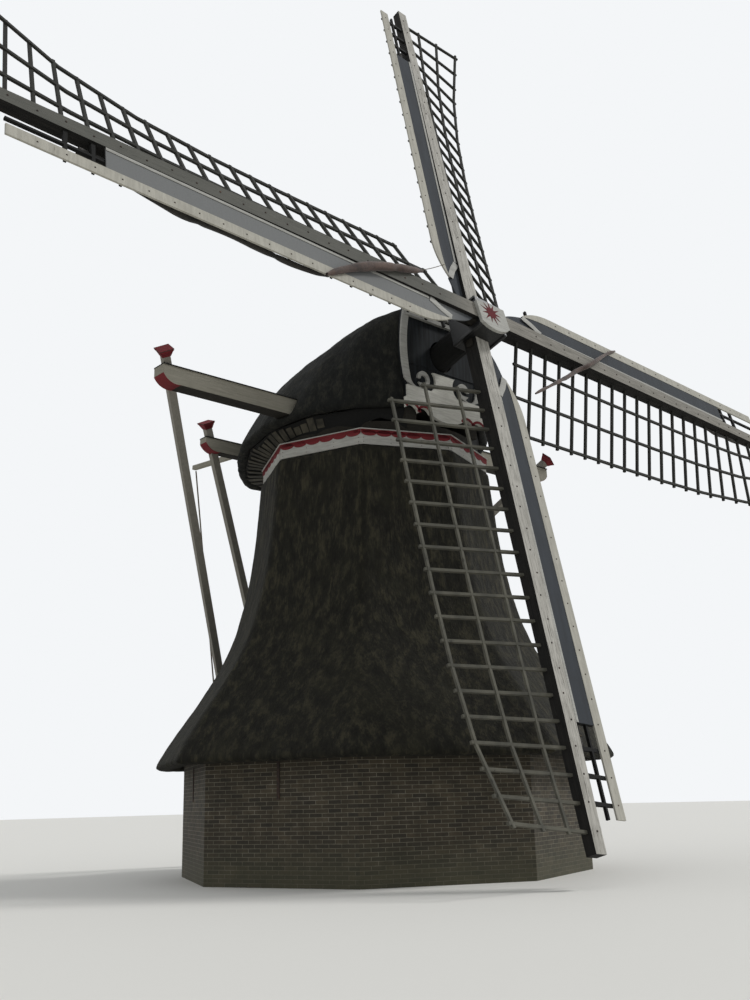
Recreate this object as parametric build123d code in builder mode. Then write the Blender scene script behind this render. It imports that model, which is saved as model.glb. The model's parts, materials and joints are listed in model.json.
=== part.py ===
from build123d import *
import os
from math import cos, radians, sin, tan

# A small thatched smock mill with eight sides. It stands on the ground on a
# low brick base, and its cap turns to face the wind. All sizes are in mm.
# The origin is on the mill's upright axis at ground level, and the sails face -Y.

# Tower
tower_turn = -2.2
sides = 8
wall_thickness = 330
wall_height = 2150
skirt_radius = 4220
skirt_overhang = 590
skirt_height = 1840
thatch_top = 7230
thatch_top_radius = 2225
thatch_thickness = 300
thatch_foot_extra = 60
ledge_overhang = 25
anchor_length = 560
anchor_width = 50
anchor_depth = 16
anchor_centre_height = 1560

# White board ring and the curb that the cap turns on
band_height = 290
band_inset = 40
board_thickness = 38
curb_depth = 355
curb_ring_height = 60
curb_ring_lap = 160
curb_ring_width = 180
track_sides = 48
running_gap = 0.3

# Cap frame
cap_ring_height = 126
sheer_spacing = 1560
sheer_width = 240
sheer_height = 250
sheer_setback = 70
sheer_tail = 760
wind_beam_depth = 330
tail_beam_depth = 260
rear_beam_depth = 260
tail_overhang = 150

# Sails and windshaft
hub_reach = 1163
hub_above_sheers = 1488
shaft_tilt = 16.2
sail_angle = -5.8
outer_stock_skew = 2
sail_radius = 9350
stock_width = 320
stock_tip_width = 220
stock_depth = 290
stock_tip_depth = 180
inner_stock_offset = -300
bar_spacing = 400
inner_stock_first_bar = 1840
outer_stock_first_bar = 1230
bar_width = 45
bar_depth = 50
bar_stub = 70
lattice_width_heel = 1915
lattice_width_tip = 1610
batten_width = 50
batten_depth = 40
heel_weather = 19.8
tip_weather = -6.3
weather_power = 6
first_batten_share = 0.31
second_batten_share = 0.64
batten_overrun = 60
batten_steps = 6
tip_margin = 90

leading_edge = 715
edge_strip_width = 190
edge_strip_depth = 30
panel_inner_end = 1480
panel_outer_end = 7460
panel_thickness = 22
panel_shoulder = 1320
panel_shoulder_side = 300
strip_tip = 1010
strip_tip_side = 440
strip_bend = 1900
inner_board_end = 330
strip_outer_end = 8850
leading_plane = 70
peg_width = 70
peg_tip_width = 40
peg_depth = 50
peg_setback = 30
peg_batten_side = 380
peg_batten_width = 40
peg_count = 18
cloth_radius = 75
cloth_inner_end = 1600
cloth_outer_end = 7800
cloth_side = 265
soft_gap = 0.3

poll_width = 640
poll_front = 150
poll_rear = -560
mortise_gap = 12
shaft_radius = 260
shaft_sides = 16
shaft_neck = 900
shaft_tail = 1000
shaft_tail_radius = 190
shaft_hole_gap = 30
neck_clearance = 0.6
star_board_width = 710
star_board_top = 200
star_board_side = -250
star_board_bottom = -380
star_board_thickness = 60

# Cap covering
hood_tail = 1260
beam_slot_gap = 0.3
cap_thatch_thickness = 250
gable_cover = 60
eave_front_rise = 350
eave_rear_rise = 70
gable_above_hub = 490
gable_overhang = 40
gable_thickness = 40
gable_top_half = 920
gable_waist_half = 1050
gable_hip_half = 980
gable_foot_half = 930
gable_waist_drop = 780
gable_hip_drop = 1460
moulding_height = 75
moulding_depth = 70
moulding_drop = 150
border_width = 150
border_thickness = 36
scroll_radius = 155
scroll_width = 80
scroll_side = 510
scroll_rise = 195
border_turn_side = 760
beard_half = 990
beard_rise = 390
beard_thickness = 45
beard_middle_half = 280
beard_middle_rise = 765
beard_notch = 60
beard_ledge_rise = 145
beard_lip = 25
beard_corner_drop = 56
beard_cusp_side = 690
beard_cusp_drop = 106
beard_lobe_rise = 12
beard_inner_side = 420
beard_middle_drop = 156
soffit_rise = 8
soffit_thickness = 30
soffit_stations = 8

# Tail
long_sprout_half = 4880
long_sprout_y = -180
long_sprout_width = 300
long_sprout_height = 300
short_sprout_half = 2400
short_sprout_tail = 360
short_sprout_width = 220
short_sprout_height = 250
brace_width = 135
brace_head = 340
brace_inset = 160
brace_cap_size = 250
brace_cap_thickness = 35
sprout_nose = 330
sprout_nose_rise = 150
cover_thickness = 22
cover_overhang = 12
long_brace_foot = 2350
short_brace_foot = 4600
tail_pole_width = 300
tail_pole_reach = 930
tail_pole_foot_height = 600
lever_width = 95
lever_x = 950
lever_front_y = 1700
lever_end_y = 5000
lever_rise = 260
rope_radius = 16
rope_setback = 80
rope_foot_height = 1450

band_radius = thatch_top_radius - band_inset
curb_inner_radius = band_radius - curb_depth
curb_ring_outer = curb_inner_radius + curb_ring_lap
curb_top = thatch_top + band_height + curb_ring_height
cap_ring_base = curb_top + running_gap
sheer_base = cap_ring_base + cap_ring_height
sheer_top = sheer_base + sheer_height
sheer_front = curb_ring_outer - sheer_setback
sheer_rear = curb_ring_outer + sheer_tail
hub_forward = sheer_front + hub_reach
hood_rear = curb_ring_outer + hood_tail
short_sprout_y = curb_ring_outer + short_sprout_tail
hub_height = sheer_top + hub_above_sheers
gable_top = hub_height + gable_above_hub
gable_y = sheer_front + gable_overhang
eave_front = curb_top + eave_front_rise
eave_rear = curb_top + eave_rear_rise
wall_radius = skirt_radius - skirt_overhang
tail_pole_foot_y = skirt_radius + tail_pole_reach
inner_foot_radius = wall_radius - wall_thickness
ledge_radius = wall_radius + ledge_overhang

os.makedirs("parts", exist_ok=True)


def save(part, label):
    """Label one sub-part and write its STEP file."""
    part.label = label
    export_step(part, f"parts/{label}.step")


side_angle = 360 / sides
side_cosine = cos(radians(side_angle / 2))


def outward(angle, reach=1):
    """A level vector of one length; its angle is measured from the front, in degrees."""
    return Vector(sin(radians(angle)), -cos(radians(angle)), 0) * reach


def polygon_face(points):
    """A flat face through the given corners."""
    return Face(Wire.make_polygon(points, close=True))


def skin(rows):
    """A closed solid with flat faces through rows of points, each row going once round a section."""
    faces = [polygon_face(rows[0]), polygon_face(rows[-1])]
    for first, second in zip(rows, rows[1:]):
        for index in range(len(first)):
            faces.append(polygon_face([first[index - 1], first[index], second[index], second[index - 1]]))
    return Solid(Shell(faces))


def ring_of_sides(outer, inner, base, height):
    """An eight-sided ring with flat sides."""
    with BuildPart() as ring:
        with BuildSketch(Plane.XY.offset(base)):
            RegularPolygon(outer, sides, rotation=tower_turn)
            RegularPolygon(inner, sides, rotation=tower_turn, mode=Mode.SUBTRACT)
        extrude(amount=height)
    return ring.part


# Brick base
save(ring_of_sides(wall_radius, inner_foot_radius, 0, wall_height), "brick_wall")

# Thatched sides, flared at the foot. Each side is one straight run of the same section, cut to its corners.
# Each pair gives how far a point lies outward and up, as shares of the whole flare.
flare_shares = [(1, 0), (0.768, 0.13), (0.547, 0.24), (0.353, 0.354), (0.183, 0.521), (0.074, 0.723), (0, 1)]
flare_steps = 12


def flare_point(out, up):
    """A point on the thatch's outer corner, as (radius, height)."""
    return (thatch_top_radius + out * (skirt_radius - thatch_top_radius),
            skirt_height + up * (thatch_top - skirt_height))


def thatch_section():
    """The corners of the thatch's section on a corner plane, as (radius, height)."""
    with BuildLine(mode=Mode.PRIVATE):
        flare = Spline(*[flare_point(*share) for share in flare_shares])
    outer = [flare @ (step / flare_steps) for step in range(flare_steps + 1)]
    inner = []
    for out, up in flare_shares[2:]:
        radius, height = flare_point(out, up)
        inner.append((radius - thatch_thickness - thatch_foot_extra * out, height))
    return [(point.X, point.Y) for point in outer] + inner[::-1] + [
        (inner_foot_radius, wall_height), (ledge_radius, wall_height),
        (skirt_radius - thatch_thickness - thatch_foot_extra, skirt_height)]


section_corners = thatch_section()
for side in range(sides):
    first_corner = tower_turn + side_angle * side
    middle = outward(first_corner + side_angle / 2)
    with BuildPart() as thatch_side:
        with BuildSketch(Plane(origin=(0, 0, 0), x_dir=middle, z_dir=middle.cross(Vector(0, 0, 1)))):
            with BuildLine():
                Polyline(*[(radius * side_cosine, height) for radius, height in section_corners], close=True)
            make_face()
        extrude(amount=skirt_radius, both=True)
        with BuildSketch():
            with BuildLine():
                Polyline((0, 0), outward(first_corner, 2 * skirt_radius),
                         outward(first_corner + side_angle, 2 * skirt_radius), close=True)
            make_face()
        extrude(amount=thatch_top, mode=Mode.INTERSECT)
    save(thatch_side.part, f"thatch_side_{side + 1}")

# Top of the tower: timber curb, white boards round it and the round track
curb_outer = band_radius - board_thickness / side_cosine
save(ring_of_sides(curb_outer, curb_inner_radius, thatch_top, band_height), "curb_beam")


def side_plane(index, radius, height):
    """The upright plane of one side of the tower, at the middle of that side, facing outward."""
    middle = tower_turn + side_angle * (index + 0.5)
    return Plane(origin=outward(middle, radius * side_cosine) + Vector(0, 0, height),
                 x_dir=Vector(0, 0, 1).cross(outward(middle)), z_dir=outward(middle))


with BuildPart() as band_boards:
    side_length = 2 * band_radius * sin(radians(side_angle / 2))
    for side in range(sides):
        with BuildSketch(side_plane(side, band_radius, thatch_top + band_height / 2)):
            Rectangle(side_length - 2 * board_thickness, band_height)
        extrude(amount=-board_thickness)
save(band_boards.part, "band_boards")

with BuildPart() as curb_ring:
    with BuildSketch(Plane.XY.offset(thatch_top + band_height)):
        RegularPolygon(curb_ring_outer, track_sides)
        RegularPolygon(curb_ring_outer - curb_ring_width, track_sides, mode=Mode.SUBTRACT)
    extrude(amount=curb_ring_height)
save(curb_ring.part, "curb_ring")

with BuildPart() as wall_anchors:
    for side in (-2, 1, 2, 5):
        with BuildSketch(side_plane(side, wall_radius, anchor_centre_height)):
            Rectangle(anchor_width, anchor_length)
        extrude(amount=anchor_depth)
save(wall_anchors.part, "wall_anchors")

# Windshaft line: planes across the shaft, facing out of the cap
tilt = radians(shaft_tilt)
shaft_direction = Vector(0, -cos(tilt), sin(tilt))
hub = Vector(0, -hub_forward, hub_height)


def hub_plane(offset):
    """The plane across the windshaft, at a distance in front of the outer stock's middle."""
    return Plane(origin=hub + shaft_direction * offset, x_dir=(1, 0, 0), z_dir=shaft_direction)


def shaft_height_at(y):
    """The height of the windshaft's axis above a point on the Y axis."""
    return hub_height - (y + hub_forward) * tan(tilt)


# Cap frame: turning ring, two long beams, and the beams that carry the shaft and the tail
with BuildPart() as cap_ring:
    with BuildSketch(Plane.XY.offset(cap_ring_base)):
        RegularPolygon(curb_ring_outer, track_sides)
        RegularPolygon(curb_ring_outer - curb_ring_width, track_sides, mode=Mode.SUBTRACT)
    extrude(amount=cap_ring_height)
save(cap_ring.part, "cap_ring")

with BuildPart() as sheers:
    with BuildSketch(Plane.XY.offset(sheer_base)):
        with Locations((-sheer_spacing / 2, (sheer_rear - sheer_front) / 2),
                       (sheer_spacing / 2, (sheer_rear - sheer_front) / 2)):
            Rectangle(sheer_width, sheer_rear + sheer_front)
    extrude(amount=sheer_height)
save(sheers.part, "sheers")

cross_beam_length = sheer_spacing + sheer_width
shaft_neck_end = shaft_neck - poll_rear
shaft_tail_end = (hub_forward + shaft_tail) / cos(tilt)


def shaft_radius_at(y):
    """The windshaft's radius where it passes over a point on the Y axis."""
    behind = (y + hub_forward) / cos(tilt)
    share = max(0, (behind - shaft_neck_end) / (shaft_tail_end - shaft_neck_end))
    return shaft_radius + (shaft_tail_radius - shaft_radius) * share


def bearing_beam(y, depth, length, base):
    """A beam across the cap with a round seat for the windshaft in its top."""
    with BuildPart() as beam:
        with BuildSketch(Plane.XY.offset(base)):
            with Locations((0, y)):
                Rectangle(length, depth)
        extrude(amount=shaft_height_at(y) - base)
        with BuildSketch(hub_plane(0)):
            Circle(shaft_radius_at(y - depth / 2) + neck_clearance)
        extrude(amount=-shaft_tail_end, mode=Mode.SUBTRACT)
    return beam.part


wind_beam_y = wind_beam_depth / 2 - sheer_front
tail_beam_y = shaft_tail - tail_overhang
wind_beam = bearing_beam(wind_beam_y, wind_beam_depth, cross_beam_length, sheer_top)
save(wind_beam, "wind_beam")
save(bearing_beam(tail_beam_y, tail_beam_depth, sheer_spacing - sheer_width, sheer_base), "tail_beam")

with BuildPart() as rear_beam:
    with BuildSketch(Plane.XY.offset(sheer_base)):
        with Locations((0, sheer_rear - rear_beam_depth / 2)):
            Rectangle(sheer_spacing - sheer_width, rear_beam_depth)
    extrude(amount=sheer_height)
save(rear_beam.part, "rear_beam")

# Cap thatch: a boat-shaped hood with flat facets between upright sections, from front to rear.
# Each station gives Y, half width, height over the gable's top, how straight its sides stand and how
# fast its top falls away.
hood_front = gable_y - gable_thickness
stations = [
    (-hood_front, gable_waist_half + gable_cover, 60, 7, 0.7),
    (570 - hood_front, band_radius - 355, 80, 4, 1.5),
    (1270 - hood_front, band_radius + 115, 90, 2.8, 2),
    (2220 - hood_front, band_radius + 285, 100, 2.05, 2),
    (hood_rear - 1950, band_radius + 65, 0, 1.95, 2),
    (hood_rear - 1150, curb_ring_outer - 200, -220, 2.3, 2),
    (hood_rear - 450, curb_ring_outer - 740, -620, 2.7, 2),
    (hood_rear, curb_ring_outer - 1230, -1130, 2.7, 2),
]
section_steps = 8


def eave_at(y):
    """The height of the hood's lower edge."""
    return eave_front + (eave_rear - eave_front) * (y + hood_front) / (hood_rear + hood_front)


def hood_section(y, half_width, rise, power, fall, inset=0, drop=0):
    """Points of one upright section of the hood, from its left eave over the top to its right eave."""
    top = gable_top + rise - inset
    low = eave_at(y) - drop
    points = []
    for step in range(-section_steps, section_steps + 1):
        turn = radians(90 * step / section_steps)
        across = (half_width - inset) * abs(sin(turn)) ** (2 / power)
        points.append(Vector(across if step > 0 else -across, y, low + (top - low) * max(0, cos(turn)) ** fall))
    return points


def strip_faces(first, second):
    """Flat triangles between two rows of points."""
    faces = []
    for index in range(len(first) - 1):
        faces.append(polygon_face([first[index], first[index + 1], second[index + 1]]))
        faces.append(polygon_face([first[index], second[index + 1], second[index]]))
    return faces


def hood_solid(sections):
    """A closed solid between the hood's sections, with a flat underside."""
    faces = [polygon_face(sections[0]), polygon_face(sections[-1])]
    for first, second in zip(sections, sections[1:]):
        faces += strip_faces(first, second)
    faces.append(polygon_face([row[0] for row in sections] + [row[-1] for row in reversed(sections)]))
    return Solid(Shell(faces))


lever_start = Vector(-lever_x, lever_front_y,
                     sheer_top + short_sprout_height + cover_thickness + lever_width / 2)
lever_end = Vector(-lever_x, lever_end_y, lever_start.Z + lever_rise)


def beam_between(start, end, size, across=(1, 0, 0)):
    """A square beam from one point to another, with one side along the given direction."""
    axis = (end - start).normalized()
    with BuildPart() as beam:
        with BuildSketch(Plane(origin=start, x_dir=Vector(*across) - axis * axis.dot(Vector(*across)),
                               z_dir=axis)):
            Rectangle(size, size)
        extrude(amount=(end - start).length)
    return beam.part


cut_overrun = 1
inner_stations = [(-hood_front - cut_overrun, *stations[0][1:]), *stations[1:-1],
                  (hood_rear - cap_thatch_thickness, *stations[-1][1:])]
inner_sections = [hood_section(*station, inset=cap_thatch_thickness, drop=cut_overrun)
                  for station in inner_stations]
with BuildPart() as hood:
    add(hood_solid([hood_section(*station) for station in stations]))
    add(hood_solid(inner_sections), mode=Mode.SUBTRACT)
    for y, width, height in ((long_sprout_y, long_sprout_width, long_sprout_height),
                             (short_sprout_y, short_sprout_width, short_sprout_height)):
        with BuildSketch(Plane.XY.offset(sheer_top - beam_slot_gap)):
            with Locations((0, y)):
                Rectangle(2 * long_sprout_half, width + 2 * (beam_slot_gap + cover_overhang))
        extrude(amount=height + cover_thickness + 2 * beam_slot_gap, mode=Mode.SUBTRACT)
    for neighbour in (sheers.part, wind_beam,
                      beam_between(lever_start, lever_end, lever_width + 2 * beam_slot_gap)):
        add(neighbour, mode=Mode.SUBTRACT)
    split(bisect_by=Plane.YZ, keep=Keep.BOTH)
halves = hood.part.solids().sort_by(Axis.X)
save(Part() + halves[0], "cap_thatch_left")
save(Part() + halves[-1], "cap_thatch_right")

# Front gable: a board that covers the thatch's front end, with a hole for the windshaft
front_plane = Plane(origin=(0, -gable_y, 0), x_dir=(1, 0, 0), z_dir=(0, -1, 0))
gable_waist = gable_top - gable_waist_drop
gable_hip = gable_top - gable_hip_drop
beard_top = sheer_top + beard_rise
beard_middle_top = sheer_top + beard_middle_rise
with BuildPart() as front_gable:
    with BuildSketch(front_plane):
        with BuildLine():
            for side in (-1, 1):
                edge = ThreePointArc((side * gable_hip_half, gable_hip),
                                     (side * gable_waist_half, gable_waist),
                                     (side * gable_top_half, gable_top))
                Polyline(edge @ 1, (0, gable_top))
                Polyline(edge @ 0, (side * gable_foot_half, beard_top),
                         (side * gable_foot_half, sheer_top), (0, sheer_top))
        make_face()
    extrude(amount=-gable_thickness)
    with BuildSketch(hub_plane(0)):
        Circle(shaft_radius + shaft_hole_gap)
    extrude(amount=-2 * hub_forward, mode=Mode.SUBTRACT)
save(front_gable.part, "front_gable")

with BuildPart() as gable_moulding:
    with BuildSketch(front_plane):
        for top in (gable_top, gable_top - moulding_drop):
            with Locations((0, top - moulding_height / 2)):
                Rectangle(2 * gable_top_half, moulding_height)
    extrude(amount=moulding_depth)
save(gable_moulding.part, "gable_moulding")

# Beard: a lower board with carved lobes, and a thinner upper one with a raised middle
beard_ledge = sheer_top + beard_ledge_rise
beard_corner = sheer_top - beard_corner_drop
beard_cusp = sheer_top - beard_cusp_drop
with BuildPart() as beard:
    with BuildSketch(front_plane):
        with BuildLine():
            for side in (-1, 1):
                Polyline((0, beard_ledge), (side * beard_half, beard_ledge),
                         (side * beard_half, beard_corner))
                for start, end in (((beard_half, beard_corner), (beard_cusp_side, beard_cusp)),
                                   ((beard_cusp_side, beard_cusp), (beard_inner_side, beard_corner))):
                    ThreePointArc((side * start[0], start[1]),
                                  (side * (start[0] + end[0]) / 2, sheer_top + beard_lobe_rise),
                                  (side * end[0], end[1]))
            ThreePointArc((beard_inner_side, beard_corner), (0, sheer_top - beard_middle_drop),
                          (-beard_inner_side, beard_corner))
        make_face()
    extrude(amount=beard_thickness + beard_lip)
    with BuildSketch(front_plane):
        with BuildLine():
            for side in (-1, 1):
                shoulder = (side * (beard_middle_half + beard_notch), beard_top)
                Polyline((0, beard_ledge), (side * gable_foot_half, beard_ledge),
                         (side * gable_foot_half, beard_top), shoulder)
                ThreePointArc(shoulder,
                              (side * (beard_middle_half - beard_notch),
                               (beard_top + beard_middle_top) / 2),
                              (side * beard_middle_half, beard_middle_top))
            Line((-beard_middle_half, beard_middle_top), (beard_middle_half, beard_middle_top))
        make_face()
    extrude(amount=beard_thickness)
save(beard.part, "beard")

# Borders: each follows the gable's edge, turns in above the beard and ends in a scroll
scroll_centre = beard_top + scroll_rise
with BuildPart() as gable_borders:
    for side in (-1, 1):
        with BuildSketch(front_plane):
            with BuildLine():
                outer, inner = [
                    ThreePointArc((side * (gable_hip_half - inset), gable_hip),
                                  (side * (gable_waist_half - inset), gable_waist),
                                  (side * (gable_top_half - inset), gable_top))
                    for inset in (0, border_width)]
                Line(outer @ 1, inner @ 1)
                foot_out, foot_in = [
                    ThreePointArc(edge @ 0, (side * border_turn_side, beard_top + inset / 2),
                                  (side * scroll_side, scroll_centre - scroll_radius + inset))
                    for edge, inset in ((outer, 0), (inner, scroll_width))]
                Line(foot_out @ 1, foot_in @ 1)
            make_face()
            with Locations((side * scroll_side, scroll_centre)):
                Circle(scroll_radius)
                Circle(scroll_radius - scroll_width, mode=Mode.SUBTRACT)
            with Locations((side * (scroll_side + scroll_radius / 2), scroll_centre - scroll_width / 2)):
                Rectangle(scroll_radius, scroll_width, mode=Mode.SUBTRACT)
        extrude(amount=border_thickness)
    add(gable_moulding.part, mode=Mode.SUBTRACT)
    add(beard.part, mode=Mode.SUBTRACT)
save(gable_borders.part, "gable_borders")

# Tail: a pole behind the mill, sprouts across the cap, and braces from their ends down to the pole
pole_top = Vector(0, sheer_rear - rear_beam_depth / 2, sheer_base)
pole_foot = Vector(0, tail_pole_foot_y, tail_pole_foot_height)


def pole_point(height):
    """A point on the tail pole's middle line."""
    return pole_foot + (pole_top - pole_foot) * ((height - pole_foot.Z) / (pole_top.Z - pole_foot.Z))


with BuildPart() as tail_pole:
    add(beam_between(pole_foot, pole_top + (pole_top - pole_foot).normalized() * tail_pole_width,
                     tail_pole_width))
    with BuildSketch(Plane.XY.offset(sheer_base)):
        with Locations((0, pole_top.Y)):
            Rectangle(4 * tail_pole_width, 4 * tail_pole_width)
    extrude(amount=2 * tail_pole_width, mode=Mode.SUBTRACT)
save(tail_pole.part, "tail_pole")

# Soffit: boards from the turning ring out to the thatch, round the sides and the back of the cap
outer_row = []
for side in (1, -1):
    edge = [Vector(side * (section[-1].X - beam_slot_gap), section[-1].Y - beam_slot_gap,
                   eave_at(section[-1].Y) + soffit_rise) for section in inner_sections[-soffit_stations:]]
    outer_row += edge if side > 0 else edge[::-1]
inner_row = []
for point in outer_row:
    reach = (curb_ring_outer + beam_slot_gap) / Vector(point.X, point.Y, 0).length
    inner_row.append(Vector(point.X * reach, point.Y * reach, cap_ring_base + soffit_rise))
lift = Vector(0, 0, soffit_thickness)
over_outer = [point + lift for point in outer_row]
over_inner = [point + lift for point in inner_row]
soffit_faces = (strip_faces(outer_row, inner_row) + strip_faces(over_outer, over_inner)
                + strip_faces(outer_row, over_outer) + strip_faces(inner_row, over_inner))
for end in (0, -1):
    soffit_faces += [polygon_face([outer_row[end], inner_row[end], over_inner[end]]),
                     polygon_face([outer_row[end], over_inner[end], over_outer[end]])]
with BuildPart() as soffit_boards:
    add(Solid(Shell(soffit_faces)))
    with BuildSketch(Plane.XY.offset(curb_top)):
        RegularPolygon(curb_ring_outer, track_sides)
    extrude(amount=hub_height, mode=Mode.SUBTRACT)
    for neighbour in (sheers.part, wind_beam, rear_beam.part, tail_pole.part, hood.part, front_gable.part):
        add(neighbour, mode=Mode.SUBTRACT)
save(soffit_boards.part, "soffit_boards")


def brace(side, half, y, base, height, foot_height):
    """One brace, from its head above a sprout's end down to the side of the tail pole."""
    head = Vector(side * (half - brace_inset), y, base + height)
    foot = pole_point(foot_height) + Vector(side * tail_pole_width / 2, 0, 0)
    axis = (head - foot).normalized()
    with BuildPart() as beam:
        add(beam_between(foot - axis * brace_width * 2, head + axis * brace_head, brace_width))
        add(tail_pole.part, mode=Mode.SUBTRACT)
    return Part() + beam.part.solids().sort_by(Axis.Z)[-1]


long_braces = [brace(side, long_sprout_half, long_sprout_y, sheer_top, long_sprout_height, long_brace_foot)
               for side in (-1, 1)]
short_braces = [brace(side, short_sprout_half, short_sprout_y, sheer_top, short_sprout_height,
                      short_brace_foot) for side in (-1, 1)]
save(Part() + long_braces, "long_braces")
save(Part() + short_braces, "short_braces")


def brace_cap(beam):
    """The square board that covers a brace's head."""
    top = beam.faces().sort_by(Axis.Z)[-1]
    with BuildPart() as board:
        with BuildSketch(Plane(top)):
            Rectangle(brace_cap_size, brace_cap_size)
        extrude(amount=brace_cap_thickness)
    return board.part


save(Part() + [brace_cap(beam) for beam in long_braces + short_braces], "brace_caps")

for name, y, half, width, height, braces in (
    ("long_sprout", long_sprout_y, long_sprout_half, long_sprout_width, long_sprout_height, long_braces),
    ("short_sprout", short_sprout_y, short_sprout_half, short_sprout_width, short_sprout_height,
     short_braces),
):
    with BuildPart() as sprout:
        with BuildSketch(Plane(origin=(0, y, 0), x_dir=(1, 0, 0), z_dir=(0, -1, 0))):
            with BuildLine():
                Line((-half, sheer_top + height), (half, sheer_top + height))
                Line((sprout_nose - half, sheer_top), (half - sprout_nose, sheer_top))
                for side in (-1, 1):
                    tip = (side * half, sheer_top + sprout_nose_rise)
                    Line((side * half, sheer_top + height), tip)
                    ThreePointArc(tip, (side * (half - sprout_nose / 3), sheer_top + sprout_nose_rise / 4),
                                  (side * (half - sprout_nose), sheer_top))
            make_face()
        extrude(amount=width / 2, both=True)
        with BuildSketch(Plane.XY.offset(sheer_top + height)):
            with Locations((0, y)):
                Rectangle(2 * half, width + 2 * cover_overhang)
        extrude(amount=cover_thickness)
        for beam in braces:
            add(beam, mode=Mode.SUBTRACT)
    save(sprout.part, name)

save(beam_between(lever_start, lever_end, lever_width), "brake_lever")

rope_top = Vector(-lever_x, lever_end_y - rope_setback, lever_start.Z + lever_rise - lever_width)
rope_foot = pole_point(rope_foot_height) - Vector(tail_pole_width / 2 + rope_radius, 0, 0)
with BuildPart() as brake_rope:
    with BuildSketch(Plane(origin=rope_top, z_dir=rope_foot - rope_top)):
        RegularPolygon(rope_radius, 8)
    extrude(amount=(rope_foot - rope_top).length)
save(brake_rope.part, "brake_rope")

# Windshaft, stocks and poll end
def shaft_ring(offset, radius):
    """The corners of the windshaft's section at a distance in front of the outer stock's middle."""
    return [hub_plane(offset).from_local_coords(Vector(radius, 0).rotate(Axis.Z, 360 / shaft_sides * index))
            for index in range(shaft_sides)]


windshaft = skin([shaft_ring(poll_rear, shaft_radius), shaft_ring(-shaft_neck_end, shaft_radius),
                  shaft_ring(-shaft_tail_end, shaft_tail_radius)])
save(Part() + windshaft, "windshaft")


def stock_place(index):
    """Where a sail's own frame lies: x runs outward, -y to the lattice and z to the wind."""
    offset = inner_stock_offset if index % 2 == 0 else 0
    turn = radians(sail_angle + 90 * index + (outer_stock_skew if index % 2 else 0))
    outward = Vector(sin(turn), -cos(turn) * sin(tilt), -cos(turn) * cos(tilt))
    return Plane(origin=hub + shaft_direction * offset, x_dir=outward, z_dir=shaft_direction)


def oblong(x, y, z, width, depth):
    """The corners of an oblong section across the X axis, round a middle point."""
    return [Vector(x, y + side * width / 2, z + front * depth / 2)
            for side, front in ((-1, -1), (1, -1), (1, 1), (-1, 1))]


stock = Part() + skin([oblong(-sail_radius, 0, 0, stock_tip_width, stock_tip_depth),
                       oblong(-poll_width / 2, 0, 0, stock_width, stock_depth),
                       oblong(poll_width / 2, 0, 0, stock_width, stock_depth),
                       oblong(sail_radius, 0, 0, stock_tip_width, stock_tip_depth)])
save(stock.moved(stock_place(0).location), "inner_stock")
save(stock.moved(stock_place(1).location), "outer_stock")

with BuildPart() as poll_end:
    with BuildSketch(Plane.XY.offset(poll_rear)):
        Rectangle(poll_width, poll_width)
    extrude(amount=poll_front - poll_rear)
    for plane, offset in ((Plane.YZ, inner_stock_offset), (Plane.XZ, 0)):
        with BuildSketch(plane.offset(-poll_width)):
            with Locations((0, offset)):
                Rectangle(stock_width + 2 * mortise_gap, stock_depth)
        extrude(amount=2 * poll_width, mode=Mode.SUBTRACT)
save(poll_end.part.moved(Plane(origin=hub, x_dir=stock_place(0).x_dir, z_dir=shaft_direction).location),
     "poll_end")

with BuildPart() as star_board:
    with BuildSketch(hub_plane(poll_front)):
        with BuildLine():
            Polyline((-star_board_width / 2, star_board_side), (-star_board_width / 2, star_board_top),
                     (star_board_width / 2, star_board_top), (star_board_width / 2, star_board_side))
            ThreePointArc((star_board_width / 2, star_board_side), (0, star_board_bottom),
                          (-star_board_width / 2, star_board_side))
        make_face()
    extrude(amount=star_board_thickness)
save(star_board.part, "star_board")


def weather(r):
    """The lattice's turn about the stock, in degrees, at a distance from the hub."""
    return heel_weather + (tip_weather - heel_weather) * (r / sail_radius) ** weather_power


def lattice_width(r):
    """How far the lattice reaches from the stock's middle at a distance from the hub."""
    return lattice_width_heel + (lattice_width_tip - lattice_width_heel) * r / sail_radius


def bar_places(first):
    """The distances of the long bars from the hub."""
    count = int((sail_radius - tip_margin - first) / bar_spacing) + 1
    return [first + bar_spacing * step for step in range(count)]


def batten_section(r, share):
    """The section of a long batten where it crosses the bars at one distance from the hub."""
    turn = radians(weather(r))
    out = -lattice_width(r) * share
    return oblong(r, out * cos(turn), out * sin(turn), batten_width, batten_depth)


def make_lattice(first):
    """The open frame of one sail: cross bars and three long battens, fused where they cross."""
    places = bar_places(first)
    short_place = first - bar_spacing
    with BuildPart() as lattice:
        for r in places:
            with Locations(Location((r, 0, 0), (weather(r), 0, 0))):
                Box(bar_width, lattice_width(r) + bar_stub, bar_depth,
                    align=(Align.CENTER, Align.MAX, Align.CENTER))
        with Locations(Location((short_place, 0, 0), (weather(short_place), 0, 0))):
            Box(bar_width, lattice_width(short_place) * second_batten_share + bar_stub, bar_depth,
                align=(Align.CENTER, Align.MAX, Align.CENTER))
        for share, start in ((first_batten_share, short_place - batten_overrun),
                             (second_batten_share, short_place - batten_overrun),
                             (1, first - batten_overrun)):
            span = places[-1] + batten_overrun - start
            add(skin([batten_section(start + span * step / batten_steps, share)
                      for step in range(batten_steps + 1)]))
        add(stock, mode=Mode.SUBTRACT)
    return lattice.part


panel_edge = leading_edge - edge_strip_width


def strip_inner_edge():
    """The line between the boards and the strip: straight, then curving in to the strip's tip."""
    return Spline((strip_bend, panel_edge), (strip_tip, strip_tip_side), tangents=((-1, 0), (-1, -0.3)))


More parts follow.
